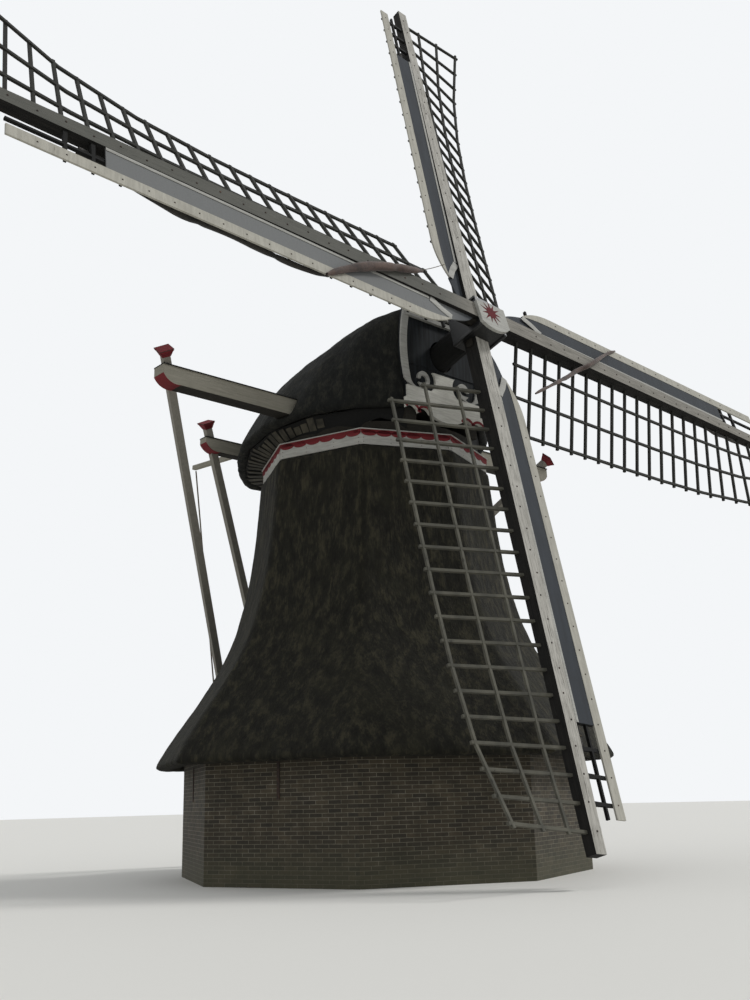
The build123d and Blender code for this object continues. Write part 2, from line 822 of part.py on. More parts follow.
def wind_board():
    """The closed boards of one sail: the long panel with a curved inner end, and an inner board."""
    with BuildPart() as board:
        with BuildSketch(Plane.XY.offset(leading_plane)):
            with BuildLine():
                Polyline((panel_inner_end, 0), (panel_outer_end, 0), (panel_outer_end, panel_edge),
                         (strip_bend, panel_edge))
                strip_inner_edge()
                Spline((strip_tip, strip_tip_side), (panel_shoulder, panel_shoulder_side),
                       (panel_inner_end, 0), tangents=((1, 0), (0, -1)))
            make_face()
        extrude(amount=panel_thickness)
        with BuildSketch(Plane.XY.offset(leading_plane - panel_thickness)):
            with BuildLine():
                Polyline((inner_board_end, 0), (panel_inner_end, 0), (panel_shoulder, panel_shoulder_side),
                         (strip_tip, strip_tip_side))
                Spline((strip_tip, strip_tip_side), (inner_board_end, 0),
                       tangents=((-1, -0.3), (-0.3, -1)))
            make_face()
        extrude(amount=panel_thickness)
        add(stock, mode=Mode.SUBTRACT)
    return board.part


def edge_strip():
    """The white strip along the leading edge of one sail, curving in at its inner end."""
    with BuildPart() as strip:
        with BuildSketch(Plane.XY.offset(leading_plane)):
            with BuildLine():
                Polyline((strip_bend, leading_edge), (strip_outer_end, leading_edge),
                         (strip_outer_end, panel_edge), (strip_bend, panel_edge))
                strip_inner_edge()
                Spline((strip_bend, leading_edge), (strip_tip, strip_tip_side),
                       tangents=((-1, 0), (-1, -0.7)))
            make_face()
        extrude(amount=edge_strip_depth)
    return strip.part


boards = wind_board()


def pegs(first):
    """The tapered pegs that stand out of the stock and carry the boards of one sail."""
    with BuildPart() as row:
        with BuildSketch(Plane.XY.offset(leading_plane - peg_depth)):
            for r in bar_places(first)[:peg_count]:
                with BuildLine():
                    Polyline((r - peg_width / 2, 0), (r - peg_tip_width / 2, leading_edge - peg_setback),
                             (r + peg_tip_width / 2, leading_edge - peg_setback), (r + peg_width / 2, 0),
                             close=True)
                make_face()
            with Locations(((panel_outer_end + strip_outer_end) / 2, peg_batten_side)):
                Rectangle(strip_outer_end - panel_outer_end, peg_batten_width)
        extrude(amount=peg_depth)
        add(stock, mode=Mode.SUBTRACT)
        for board in boards.solids():
            add(board, mode=Mode.SUBTRACT)
    return row.part


def rolled_cloth():
    """The sail's cloth, rolled up and stowed behind the boards beside the stock."""
    with BuildPart() as roll:
        with BuildSketch(Plane.YZ.offset(cloth_inner_end)):
            with Locations((cloth_side, leading_plane - peg_depth - cloth_radius - soft_gap)):
                RegularPolygon(cloth_radius, 8, major_radius=False, rotation=22.5)
        extrude(amount=cloth_outer_end - cloth_inner_end)
    return roll.part


first_bars = (inner_stock_first_bar, outer_stock_first_bar)
lattices = [make_lattice(first) for first in first_bars]
peg_rows = [pegs(first) for first in first_bars]
for index, name in enumerate(("lower", "right", "upper", "left")):
    place = stock_place(index).location
    save(lattices[index % 2].moved(place), f"{name}_lattice")
    save(rolled_cloth().moved(place), f"{name}_cloth")

places = [stock_place(index).location for index in range(4)]
save(Part() + [boards.moved(place) for place in places], "wind_boards")
save(Part() + [edge_strip().moved(place) for place in places], "leading_edges")
save(Part() + [peg_rows[index % 2].moved(place) for index, place in enumerate(places)], "leading_pegs")
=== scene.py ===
# %% [markdown]
# # A thatched smock mill
# This lesson dresses a windmill that already exists as exact CAD solids. The solids arrive as a fixed
# frame, in metres, so nothing here has to be fitted. Each step either gives a solid its real finish or
# adds what a mill is known by: thatch, scallops, scrolls, bolts, cloth and rope.
# The first cell loads the frame.

# %% Load the imported mill
import json
from math import cos, exp, inf, pi, radians, sin, sqrt

import bmesh
import bpy
from mathutils import Matrix, Vector, noise
from mathutils.bvhtree import BVHTree


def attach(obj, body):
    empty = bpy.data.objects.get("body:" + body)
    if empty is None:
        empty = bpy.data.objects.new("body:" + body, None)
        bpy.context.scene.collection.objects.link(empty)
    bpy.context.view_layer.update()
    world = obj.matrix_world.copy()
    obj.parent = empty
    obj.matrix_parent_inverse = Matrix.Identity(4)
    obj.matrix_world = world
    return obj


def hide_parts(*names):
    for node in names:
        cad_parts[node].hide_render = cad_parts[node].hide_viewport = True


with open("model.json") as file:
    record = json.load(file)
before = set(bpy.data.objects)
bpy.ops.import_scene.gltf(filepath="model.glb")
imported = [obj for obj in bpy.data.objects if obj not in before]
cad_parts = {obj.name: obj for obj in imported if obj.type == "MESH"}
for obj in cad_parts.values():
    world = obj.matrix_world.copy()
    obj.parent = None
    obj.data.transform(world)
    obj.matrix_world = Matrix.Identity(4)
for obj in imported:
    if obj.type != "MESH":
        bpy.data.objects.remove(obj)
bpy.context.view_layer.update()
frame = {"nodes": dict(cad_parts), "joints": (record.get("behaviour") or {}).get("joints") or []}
nodes = frame["nodes"]

# %% [markdown]
# ## Camera
# The picture is taken from low in front of the mill and to its left, looking up. The lens comes from
# the photo's own perspective, as a focal length in pixels of the picture's height, and the camera leans
# by a degree and a half, as a hand-held one does. A rotation matrix is built in the order a photographer
# moves: turn, tip up, lean.

# %% Camera
heading, pitch, lean = radians(41.7446), radians(15.7207), radians(1.4429)
camera_place = (-13.2628, -14.8789, 1.2)
focal_pixels, picture_height, sensor_size = 1073.65, 1000, 36
camera_data = bpy.data.cameras.new("camera")
camera_data.sensor_width = sensor_size
camera_data.lens = sensor_size * focal_pixels / picture_height
camera_data.clip_end = 400
camera = bpy.data.objects.new("camera", camera_data)
bpy.context.scene.collection.objects.link(camera)
turn = (Matrix.Rotation(-heading, 4, "Z") @ Matrix.Rotation(radians(90) + pitch, 4, "X")
        @ Matrix.Rotation(-lean, 4, "Z"))
camera.matrix_world = Matrix.Translation(camera_place) @ turn
bpy.context.scene.camera = camera
print("lens", round(camera_data.lens, 2), "mm")

# %% [markdown]
# ## Ropes
# The brake rope hangs from the end of the brake lever down to the tail pole, where it is made fast, so it
# is held at both ends and pulled nearly straight. A second, thinner line holds the loose cloth of the left
# sail to the upper one. A rope is a smooth line, so each is drawn as a NURBS curve through the two tie
# points and near the points between them, and the curve's round bevel gives it its body. Cloths and
# borders follow such lines too, so one helper draws them all.

# %% Ropes
def smooth_line(name, points, resolution):
    """A NURBS curve from the first to the last of some points, as an object, and its spline."""
    curve = bpy.data.curves.new(name, "CURVE")
    curve.dimensions = "3D"
    spline = curve.splines.new("NURBS")
    spline.points.add(len(points) - 1)
    for point, place in zip(spline.points, points):
        point.co = (*place, 1)
    spline.order_u = 3
    spline.use_endpoint_u = True
    spline.resolution_u = resolution
    line = bpy.data.objects.new(name, curve)
    bpy.context.scene.collection.objects.link(line)
    return line, spline


def draw_rope(name, points, radius, body, *stands_for):
    """A taut rope along a few points on a body, in place of CAD nodes if any are named."""
    rope, spline = smooth_line(name, points, 16)
    rope.data.bevel_depth = 1.0
    rope.data.bevel_resolution = 3
    rope.data.use_fill_caps = True
    for point in spline.points:
        point.radius = radius
    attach(rope, body)
    if stands_for:
        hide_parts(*stands_for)
    return rope


brake_points = [(-0.95, 4.92, 8.4408), (-0.80, 4.9061, 7.1), (-0.348, 4.8643, 3.07), (-0.166, 4.8474, 1.45)]
line_points = [(-1.658, -3.150, 9.860),
               (-1.232, -2.937, 10.117),
               (-0.793, -2.719, 10.395),
               (-0.366, -2.506, 10.676)]
ropes = [draw_rope("brake_line", brake_points, 0.016, "cap", "brake_rope"),
         draw_rope("cloth_line", line_points, 0.007, "sails")]

# %% [markdown]
# ## Colours and nodes
# Paint charts give colours as hex codes in sRGB, while a shader works in linear light, so one function
# turns the one into the other. A second one adds a node with its settings, its colour stops and its
# links in one line, which keeps each material short enough to read.

# %% Colour and node helpers
mm = 0.001


def linear(code):
    """An sRGB hex code as linear red, green, blue and alpha."""
    parts = [int(code[i:i + 2], 16) / 255 for i in (1, 3, 5)]
    return [c / 12.92 if c <= 0.04045 else ((c + 0.055) / 1.055) ** 2.4 for c in parts] + [1]


def add_node(material, kind, inputs=(), stops=(), **settings):
    """Add a node to a material or a world, and set or link its inputs by name or number."""
    node = material.node_tree.nodes.new(kind)
    for name, value in settings.items():
        setattr(node, name, value)
    for name, value in dict(inputs).items():
        if isinstance(value, bpy.types.NodeSocket):
            material.node_tree.links.new(value, node.inputs[name])
        else:
            node.inputs[name].default_value = value
    for index, (position, code) in enumerate(stops):
        if index > 1:
            node.color_ramp.elements.new(position)
        node.color_ramp.elements[index].position = position
        node.color_ramp.elements[index].color = linear(code)
    return node


def start_material(name, roughness, metallic=0.0):
    """A new material, its shader and the surface's Object coordinates."""
    material = bpy.data.materials.new(name)
    material.use_nodes = True
    shader = material.node_tree.nodes["Principled BSDF"]
    shader.inputs["Roughness"].default_value = roughness
    shader.inputs["Metallic"].default_value = metallic
    return material, shader, add_node(material, "ShaderNodeTexCoord").outputs


def finish_material(material, shader, colour, height, depth):
    """Link a colour and a bump of a real depth to the shader."""
    bump = add_node(material, "ShaderNodeBump", {"Height": height, "Distance": depth, "Strength": 1.0})
    material.node_tree.links.new(colour, shader.inputs["Base Color"])
    material.node_tree.links.new(bump.outputs[0], shader.inputs["Normal"])
    return material


print("white paint in linear light:", [round(c, 3) for c in linear("#c6c4ba")])

# %% [markdown]
# ## Reed thatch
# The walls and the cap are thatched with water reed. What shows is a dense coat of cut reed ends that
# all point down the slope, gone dark with age, with moss where rain stays. One could scatter a million
# straws, but at this distance the coat reads as short dark streaks, so noise stretched along the slope
# gives the streaks, a coarser one gathers them into locks, and slow noise gives the moss and damp. Reeds
# are 5 mm thick; the streaks are drawn 25 mm wide, because 5 mm is far below one pixel here.

# %% Thatch material
def make_thatch(name, stops, moss, fall):
    """Aged reed: stops are its colours from dark to light, and fall is the streaks' length."""
    material, shader, coordinates = start_material(name, 0.95)
    shader.inputs["Specular IOR Level"].default_value = 0.2
    streak_space = add_node(material, "ShaderNodeMapping", {"Vector": coordinates["Object"],
                            "Scale": (25 * mm, 25 * mm, fall)}, vector_type="TEXTURE").outputs[0]
    streaks = add_node(material, "ShaderNodeTexNoise", {"Vector": streak_space, "Scale": 1.0,
                                                        "Detail": 4, "Roughness": 0.6}).outputs[0]
    lock_space = add_node(material, "ShaderNodeMapping", {"Vector": coordinates["Object"],
                          "Scale": (140 * mm, 140 * mm, 2 * fall)}, vector_type="TEXTURE").outputs[0]
    locks = add_node(material, "ShaderNodeTexNoise", {"Vector": lock_space, "Scale": 1.0, "Detail": 4,
                                                      "Roughness": 0.65}).outputs[0]
    patches = add_node(material, "ShaderNodeTexNoise", {"Vector": coordinates["Object"],
                       "Scale": 1 / (900 * mm), "Detail": 7, "Roughness": 0.68}).outputs[0]
    blend = add_node(material, "ShaderNodeMath", {0: streaks, 1: 0.45, 2: locks},
                     operation="MULTIPLY_ADD").outputs[0]
    reed = add_node(material, "ShaderNodeValToRGB", {"Fac": blend}, stops).outputs[0]
    growth = add_node(material, "ShaderNodeMapRange", {"Value": patches, "From Min": 0.5, "From Max": 0.72,
                                                       "To Max": 0.6}).outputs[0]
    colour = add_node(material, "ShaderNodeMix", {0: growth, 6: reed, 7: linear(moss)},
                      data_type="RGBA").outputs[2]
    return finish_material(material, shader, colour, blend, 30 * mm)


thatch = make_thatch("aged_reed_thatch", ((0.53, "#13120e"), (0.72, "#1f1e18"), (0.92, "#39362a")),
                     "#2c2b20", 180 * mm)
cap_thatch = make_thatch("aged_reed_cap_thatch", ((0.53, "#121312"), (0.72, "#1b1c1a"), (0.92, "#302f29")),
                         "#23231e", 110 * mm)
print("thatch has", len(thatch.node_tree.nodes), "nodes")

# %% [markdown]
# ## The thatch coats
# The CAD solids give the thatch flat facets and sharp corners, while a real coat is combed round every
# corner and is never quite even. A copy of the solids is merged into one, remeshed with even small
# faces, smoothed, and then each point is pushed in or out a little by noise. Remeshing first means that
# smoothing and noise act alike everywhere, which they would not on long CAD triangles. The cut front of
# the hood stays crisp where the gable's borders lie against it.

# %% Thatch coats
def baked(holder):
    """The mesh that an object's curve or modifiers give; the object itself is removed."""
    bpy.context.view_layer.update()
    mesh = bpy.data.meshes.new_from_object(holder.evaluated_get(bpy.context.evaluated_depsgraph_get()))
    bpy.data.objects.remove(holder)
    return mesh


def thatch_coat(name, names, body, material, voxel, rounds, lift, crisp_y=-inf):
    """One soft coat in place of thatch solids: remeshed, smoothed behind crisp_y and made uneven."""
    joined = bmesh.new()
    for node in names:
        joined.from_mesh(nodes[node].data)
    bmesh.ops.remove_doubles(joined, verts=joined.verts, dist=0.1 * mm)
    rough = bpy.data.meshes.new(name + "_rough")
    joined.to_mesh(rough)
    joined.free()
    holder = bpy.data.objects.new(name + "_rough", rough)
    bpy.context.scene.collection.objects.link(holder)
    remesh = holder.modifiers.new("remesh", "REMESH")
    remesh.mode = "VOXEL"
    remesh.voxel_size = voxel
    mesh = baked(holder)
    coat = bmesh.new()
    coat.from_mesh(mesh)
    loose = [vert for vert in coat.verts if vert.co.y > crisp_y]
    for _ in range(rounds):
        bmesh.ops.smooth_vert(coat, verts=loose, factor=0.5, use_axis_x=True, use_axis_y=True,
                              use_axis_z=True)
    coat.normal_update()
    # Wide swells of about 0.6 m, and ridges about 0.15 m wide that are combed down the slope.
    for vert in loose:
        wide = noise.noise(vert.co * 1.6)
        combed = noise.noise(Vector((vert.co.x * 7, vert.co.y * 7, vert.co.z * 1.8)))
        vert.co += vert.normal * (lift * (0.6 + 0.5 * wide + 0.5 * combed))
    coat.to_mesh(mesh)
    coat.free()
    mesh.polygons.foreach_set("use_smooth", [True] * len(mesh.polygons))
    mesh.materials.clear()
    mesh.materials.append(material)
    mesh.name = name
    piece = bpy.data.objects.new(name, mesh)
    bpy.context.scene.collection.objects.link(piece)
    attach(piece, body)
    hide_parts(*names)
    print(name, len(mesh.polygons), "faces")


crisp_front = -1.80
thatch_coat("smock_thatch", [f"thatch_side_{side}" for side in range(1, 9)], "tower", thatch,
            65 * mm, 6, 14 * mm)
thatch_coat("hood_thatch", ["cap_thatch_left", "cap_thatch_right"], "cap", cap_thatch, 45 * mm, 12, 16 * mm,
            crisp_front)

# %% [markdown]
# ## Timber and paint
# Painted timber on a mill is never one colour. The paint fades in streaks along the grain, grime runs
# down it, and it flakes off to grey wood. The streaks are noise stretched along the timber, so the
# material is told which way the timber runs. Flakes are a second noise with a hard edge, and they lie
# deeper than the paint, which the bump shows. Old oil paint is chalky, so it is rough and hardly shines.

# %% Painted timber
def painted_timber(name, paint, faded, bare, flaking=0.05, lie=(0, 0, 0), run=(600, 30, 30), front=None,
                   arm=None, arm_colour=None):
    """Paint on timber; lie turns the grain's space and run is the streaks' size in millimetres. Where a
    front is given, only faces towards it are painted, and the others are dark: tar and painted shade.
    Where an arm is given, as a direction and the hub's place along it, the timber out along it takes
    the arm's own colour."""
    material, shader, coordinates = start_material(name, 0.85)
    shader.inputs["Specular IOR Level"].default_value = 0.25
    grain_space = add_node(material, "ShaderNodeMapping", {"Vector": coordinates["Object"], "Rotation": lie,
                           "Scale": [size * mm for size in run]}, vector_type="TEXTURE").outputs[0]
    streaks = add_node(material, "ShaderNodeTexNoise", {"Vector": grain_space, "Scale": 1.0, "Detail": 5,
                                                        "Roughness": 0.6}).outputs[0]
    grime = add_node(material, "ShaderNodeTexNoise", {"Vector": coordinates["Object"],
                     "Scale": 1 / (350 * mm), "Detail": 6, "Roughness": 0.7}).outputs[0]
    flake_space = add_node(material, "ShaderNodeMapping", {"Vector": coordinates["Object"], "Rotation": lie,
                           "Scale": [size * mm * 0.8 for size in run]},
                           vector_type="TEXTURE").outputs[0]
    flakes = add_node(material, "ShaderNodeTexNoise", {"Vector": flake_space, "Scale": 1.0, "Detail": 7,
                                                       "Roughness": 0.75}).outputs[0]
    lost = add_node(material, "ShaderNodeMapRange", {"Value": flakes, "From Min": 0.64 - flaking,
                                                     "From Max": 0.70 - flaking, "To Max": 0.8}).outputs[0]
    fading = add_node(material, "ShaderNodeValToRGB", {"Fac": streaks}, ((0.35, faded), (0.6, paint)))
    dirty = add_node(material, "ShaderNodeMapRange", {"Value": grime, "From Min": 0.48, "From Max": 0.8,
                                                      "To Max": 0.35}).outputs[0]
    grimed = add_node(material, "ShaderNodeMix", {0: dirty, 6: fading.outputs[0], 7: linear(bare)},
                      data_type="RGBA").outputs[2]
    colour = add_node(material, "ShaderNodeMix", {0: lost, 6: grimed, 7: linear(bare)},
                      data_type="RGBA").outputs[2]
    if arm:
        (direction, hub_reach), near, far = arm, 0.35, 1.2
        reach = add_node(material, "ShaderNodeVectorMath", {0: coordinates["Object"], 1: direction},
                         operation="DOT_PRODUCT").outputs["Value"]
        share = add_node(material, "ShaderNodeMapRange", {"Value": reach, "From Min": hub_reach + near,
                         "From Max": hub_reach + far, "To Max": 0.8}).outputs[0]
        colour = add_node(material, "ShaderNodeMix", {0: share, 6: colour, 7: linear(arm_colour)},
                          data_type="RGBA").outputs[2]
    if front:
        # Faces that look away from the front take one dark colour that is tar and painted shade at once.
        facing = add_node(material, "ShaderNodeVectorMath", {0: coordinates["Normal"], 1: front},
                          operation="DOT_PRODUCT").outputs["Value"]
        tarred = add_node(material, "ShaderNodeMath", {0: facing, 1: 0.8}, operation="LESS_THAN").outputs[0]
        tar = add_node(material, "ShaderNodeValToRGB", {"Fac": streaks},
                       ((0.35, "#0e0e0d"), (0.65, "#211f1c"))).outputs[0]
        colour = add_node(material, "ShaderNodeMix", {0: tarred, 6: colour, 7: tar},
                          data_type="RGBA").outputs[2]
    deep = add_node(material, "ShaderNodeMath", {0: lost, 1: -0.6, 2: streaks}, operation="MULTIPLY_ADD")
    return finish_material(material, shader, colour, deep.outputs[0], 4 * mm)


print("materials so far:", len(bpy.data.materials))

# %% [markdown]
# ## Paints of the tower and the cap
# Each timber has its own paint, given as three colours: the paint, the paint where it has faded, and
# what shows under it. Boards that lie level have level streaks, and braces have upright ones. Thin bars
# that run every way get patches with no direction.

# %% Paints of the tower and the cap
level, upright, any_way = (300, 300, 25), (30, 30, 600), (300, 300, 300)
# White oil paint brushed on pine boards: rain has left it pale grey and chalky.
white_board = painted_timber("white_oil_paint_on_board", "#acaba5", "#9a9993", "#74716a", 0.0, run=level)
# The beard's white is brighter than that of the other boards.
beard_paint = painted_timber("bright_white_oil_paint_on_board", "#d0cec5", "#bab8af", "#8f8c82", 0.0,
                             run=level)
# Tar paint brushed on upright boards, nearly black partly by its own colour and partly by painted shade, and
# bluish where it has faded.
gable_paint_and_shade = painted_timber("black_tar_paint_and_painted_shade", "#0f1112", "#23272a", "#0a0b0c", 0.0,
                             run=(60, 60, 1200))
# Grey oil paint on planed oak: dull, with warm streaks along the timber.
grey_paint = painted_timber("grey_oil_paint_on_oak", "#8f8b7f", "#838074", "#6a665c", 0.0)
brace_paint = painted_timber("grey_oil_paint_on_brace", "#87837a", "#7c7970", "#615d54", 0.0, run=upright)
# Red oil paint bleached by the sun to a brownish red, and a deeper coat of it on the star.
red_paint = painted_timber("red_oil_paint_on_oak", "#74262a", "#632126", "#43201f", 0.0)
star_paint = painted_timber("deep_red_oil_paint_on_board", "#5c0f16", "#4c0d13", "#381012", 0.0)
# Sawn oak under old tar is dark brown where the tar is thin, and under fresh tar nearly black.
dark_oak = painted_timber("tarred_oak", "#28251f", "#1f1d19", "#333027", 0.0)
black_oak = painted_timber("black_tarred_oak", "#11110f", "#0c0c0c", "#1b1917", 0.0)
# Sawn oak left bare and silvered by the weather, in light and dark patches.
grey_oak = painted_timber("bare_grey_oak", "#4a463b", "#2a2823", "#17150f", 0.02, run=any_way)
print("painted timbers:", [m.name for m in bpy.data.materials if "paint" in m.name])

# %% [markdown]
# ## Sail frames
# Each sail is described along its own stock: x runs out along it, z to the wind. The hub's place and
# the windshaft's direction are read from the record's joint, so paint grain, bolts and cloths follow
# the stocks exactly. The two stocks cross one behind the other, not quite at a right angle.

# %% Sail frames
spin_joint = next(joint for joint in frame["joints"] if joint["name"] == "windshaft_spin")
hub, shaft = Vector(spin_joint["pos_m"]), Vector(spin_joint["axis"])
rest_turn, outer_stock_skew, inner_stock_setback = -5.8, 2, 0.3


def frame_matrix(x_axis, y_axis, z_axis):
    """The turn that lays a shape's x, y and z along three directions."""
    return Matrix((x_axis, y_axis, z_axis)).transposed().to_4x4()


def sail_frame(index):
    """The matrix from a sail's own frame to the mill's: 0 is the lower sail, 1 the right one."""
    turn = radians(rest_turn + 90 * index + (outer_stock_skew if index % 2 else 0))
    out = Vector((sin(turn), -cos(turn) * shaft.z, cos(turn) * shaft.y))
    side = shaft.cross(out)
    middle = hub + shaft * (0 if index % 2 else -inner_stock_setback)
    return Matrix.Translation(middle) @ frame_matrix(out, side, shaft)


sail_names = ("lower", "right", "upper", "left")
print("stock directions", [tuple(round(v, 2) for v in sail_frame(i).col[0][:3]) for i in range(4)])

# %% [markdown]
# ## Sail paints
# The stocks are painted on their fronts, and their other faces are dark: tar, with painted shade on the
# sides and undersides. So their paint looks at which way a face points. On the left sail the stock is
# darker than on the rest, and its panel is paler, a painted sheen. Each of these is one solid with the same
# piece of another sail, so a second material would mean cutting the solid. Instead the paint measures how
# far out along the left sail a place lies, and blends there.

# %% Sail paints
lies = [tuple(sail_frame(index).to_euler()) for index in range(2)]
left_out = sail_frame(3).col[0].to_3d()
left_arm = (tuple(left_out), hub.dot(left_out))
stock_run, strip_run, panel_run = (500, 28, 28), (500, 60, 60), (900, 120, 120)
# Oil paint on a squared pine trunk: white and chipped on the inner stock, worn to grey on the outer one.
# On both stocks the faces away from the front are dark with tar and painted shade.
stock_paint = [painted_timber("chipped_white_paint_on_pine", "#b5b2aa", "#96938b", "#4f4c46", 0.08, lies[0],
                              stock_run, tuple(shaft)),
               # Out along the left sail the outer stock turns a darker grey.
               painted_timber("worn_grey_paint_on_pine", "#8a867e", "#716e66", "#4c4a43", 0.05, lies[1],
                              stock_run, tuple(shaft), left_arm, "#4d4e49")]
# Thin pine boards: cream paint on the leading strips, slate paint with a soft bluish cast on the panels.
# Out along the left sail the slate panel turns paler: a painted sheen.
strip_paint = painted_timber("cream_paint_on_strip", "#b0ada2", "#a09d93", "#7d796d", 0.0, lies[0],
                             strip_run)
panel_paint = painted_timber("slate_paint_on_board", "#363a3f", "#313438", "#292b2c", 0.0, lies[0],
                             panel_run, None, left_arm, "#7c7d7c")
# Oak bars under thin tar, made darker still by painted shade; the lower sail's bars are a lighter copy with
# painted light.
shaded_lattice_wood = painted_timber("tarred_lattice_oak", "#2f2f2b", "#262623", "#1b1c1b", 0.03, run=any_way)
lit_lattice_wood = painted_timber("bleached_lattice_oak", "#5b594f", "#47463f", "#302f2b", 0.03, run=any_way)
print("sail paints:", [paint.name for paint in (*stock_paint, strip_paint, panel_paint)])

# %% [markdown]
# ## Brick
# The low wall under the thatch is old handmade brick in lime mortar. A brick texture needs a place
# along the wall and a height, but Object coordinates know nothing of the eight sides. On a flat side
# the step along the wall is the dot product of the place with a level vector across the side's normal,
# which works for every side at once. Courses are 62.5 mm and bricks 220 mm, both with their joint. Bricks
# made by hand vary in colour, lime mortar is paler than they are, and the foot is green with damp.

# %% Brick material
course, brick_length, mortar_joint = 62.5 * mm, 220 * mm, 5 * mm
brick, brick_shader, coordinates = start_material("handmade_brick_in_lime_mortar", 0.9)
across = add_node(brick, "ShaderNodeVectorMath", {0: (0, 0, 1), 1: coordinates["Normal"]},
                  operation="CROSS_PRODUCT").outputs[0]
along = add_node(brick, "ShaderNodeVectorMath", {0: coordinates["Object"], 1: across},
                 operation="DOT_PRODUCT").outputs["Value"]
height = add_node(brick, "ShaderNodeSeparateXYZ", {0: coordinates["Object"]}).outputs[2]
wall_place = add_node(brick, "ShaderNodeCombineXYZ", {0: along, 1: height}).outputs[0]
courses = add_node(brick, "ShaderNodeTexBrick", {
    "Vector": wall_place, "Color1": linear("#574e3f"), "Color2": linear("#39342b"),
    "Mortar": linear("#8b8678"), "Scale": 1.0, "Mortar Size": mortar_joint, "Mortar Smooth": 0.2,
    "Brick Width": brick_length, "Row Height": course})
weathering = add_node(brick, "ShaderNodeTexNoise", {"Vector": coordinates["Object"],
                      "Scale": 1 / (300 * mm), "Detail": 7, "Roughness": 0.7}).outputs[0]
stain = add_node(brick, "ShaderNodeValToRGB", {"Fac": weathering},
                 ((0.3, "#a3a299"), (0.55, "#d2d0c9"), (0.75, "#ffffff"))).outputs[0]
stained = add_node(brick, "ShaderNodeMix", {0: 1.0, 6: courses.outputs[0], 7: stain}, data_type="RGBA",
                   blend_type="MULTIPLY").outputs[2]
damp_foot = add_node(brick, "ShaderNodeMapRange", {"Value": height, "From Min": 0.0, "From Max": 0.7,
                                                   "To Min": 0.6, "To Max": 0.0}).outputs[0]
brick_colour = add_node(brick, "ShaderNodeMix", {0: damp_foot, 6: stained, 7: linear("#4a4a38")},
                        data_type="RGBA").outputs[2]
recess = add_node(brick, "ShaderNodeMath", {0: courses.outputs["Fac"], 1: -1.0, 2: weathering},
                  operation="MULTIPLY_ADD").outputs[0]
finish_material(brick, brick_shader, brick_colour, recess, 8 * mm)

# %% [markdown]
# ## Iron
# The poll end is cast iron under black paint: a rough casting with a dull shine where the paint is
# thick, so it is no bare metal and its shader isn't metallic. Bolts and anchors are forged iron gone to
# dark rust, with a trace of metal left. Noise of a few centimetres gives both their unevenness.

# %% Iron
cast_iron, iron_shader, coordinates = start_material("black_painted_cast_iron", 0.5)
casting = add_node(cast_iron, "ShaderNodeTexNoise", {"Vector": coordinates["Object"], "Scale": 1 / (40 * mm),
                                                     "Detail": 6, "Roughness": 0.7}).outputs[0]
casting_colour = add_node(cast_iron, "ShaderNodeValToRGB", {"Fac": casting},
                          ((0.35, "#070808"), (0.7, "#121212"))).outputs[0]
finish_material(cast_iron, iron_shader, casting_colour, casting, 4 * mm)

rusty_iron, rust_shader, coordinates = start_material("forged_iron_with_rust", 0.8, 0.2)
rust = add_node(rusty_iron, "ShaderNodeTexNoise", {"Vector": coordinates["Object"], "Scale": 1 / (60 * mm),
                                                   "Detail": 6, "Roughness": 0.7}).outputs[0]
rust_colour = add_node(rusty_iron, "ShaderNodeValToRGB", {"Fac": rust},
                       ((0.35, "#24211e"), (0.55, "#3a2c24"), (0.75, "#5d3e2c"))).outputs[0]
finish_material(rusty_iron, rust_shader, rust_colour, rust, 2 * mm)
print("iron:", cast_iron.name, rusty_iron.name)

# %% [markdown]
# ## Rope and canvas
# Rope is laid in strands that wind round it, which slanting bands show well enough at its thickness.
# Canvas is a plain weave of flax, tanned brown against rot, that has faded and been folded wet: two sets
# of bands across each other give the weave, and slow noise the pale and dark folds. A darker copy, for the
# cloth that lies behind the boards and the stock, is painted shade. A little sheen gives the soft edge
# that fibres have in low light.

# %% Rope and canvas
rope_fibre, rope_shader, coordinates = start_material("laid_manila_rope", 0.9)
strands = add_node(rope_fibre, "ShaderNodeTexWave", {"Vector": coordinates["Object"], "Scale": 1 / (40 * mm),
                   "Distortion": 1.0}, bands_direction="DIAGONAL").outputs["Fac"]
rope_colour = add_node(rope_fibre, "ShaderNodeValToRGB", {"Fac": strands},
                       ((0.2, "#3b342a"), (0.8, "#6f6450"))).outputs[0]
finish_material(rope_fibre, rope_shader, rope_colour, strands, 3 * mm)


def make_canvas(name, light, dark):
    """Flax canvas on the cloth's own UV in metres. Its threads are 1 mm, drawn 8 mm wide to show: bands
    of a Wave texture repeat every 2 pi / 20 at a scale of 1, so each thread and its gap take 16 mm."""
    material, shader, coordinates = start_material(name, 0.9)
    shader.inputs["Sheen Weight"].default_value = 0.2
    weave_scale = 1 / (8 * mm) / 6.28
    warp, weft = [add_node(material, "ShaderNodeTexWave", {"Vector": coordinates["UV"], "Scale": weave_scale},
                           bands_direction=direction).outputs["Fac"] for direction in "XY"]
    weave = add_node(material, "ShaderNodeMath", {0: warp, 1: weft}, operation="MULTIPLY").outputs[0]
    folds = add_node(material, "ShaderNodeTexNoise", {"Vector": coordinates["Object"],
                     "Scale": 1 / (180 * mm), "Detail": 5, "Roughness": 0.65}).outputs[0]
    colour = add_node(material, "ShaderNodeValToRGB", {"Fac": folds},
                      ((0.35, dark), (0.65, light))).outputs[0]
    relief = add_node(material, "ShaderNodeMath", {0: weave, 1: 0.3, 2: folds}, operation="MULTIPLY_ADD")
    return finish_material(material, shader, colour, relief.outputs[0], 6 * mm)


brown_canvas = make_canvas("tanned_flax_canvas", "#5a463c", "#332824")
# The darker canvas is painted shade, for cloth that lies behind the boards and the stock.
shaded_canvas = make_canvas("weathered_flax_canvas", "#34302b", "#1d1c1a")
print("materials:", len(bpy.data.materials))

# %% [markdown]
# ## Give every solid its finish
# Each CAD solid keeps its shape and gets the finish of the real timber, iron or brick. Its mesh stays
# as it is; only the material slots change.

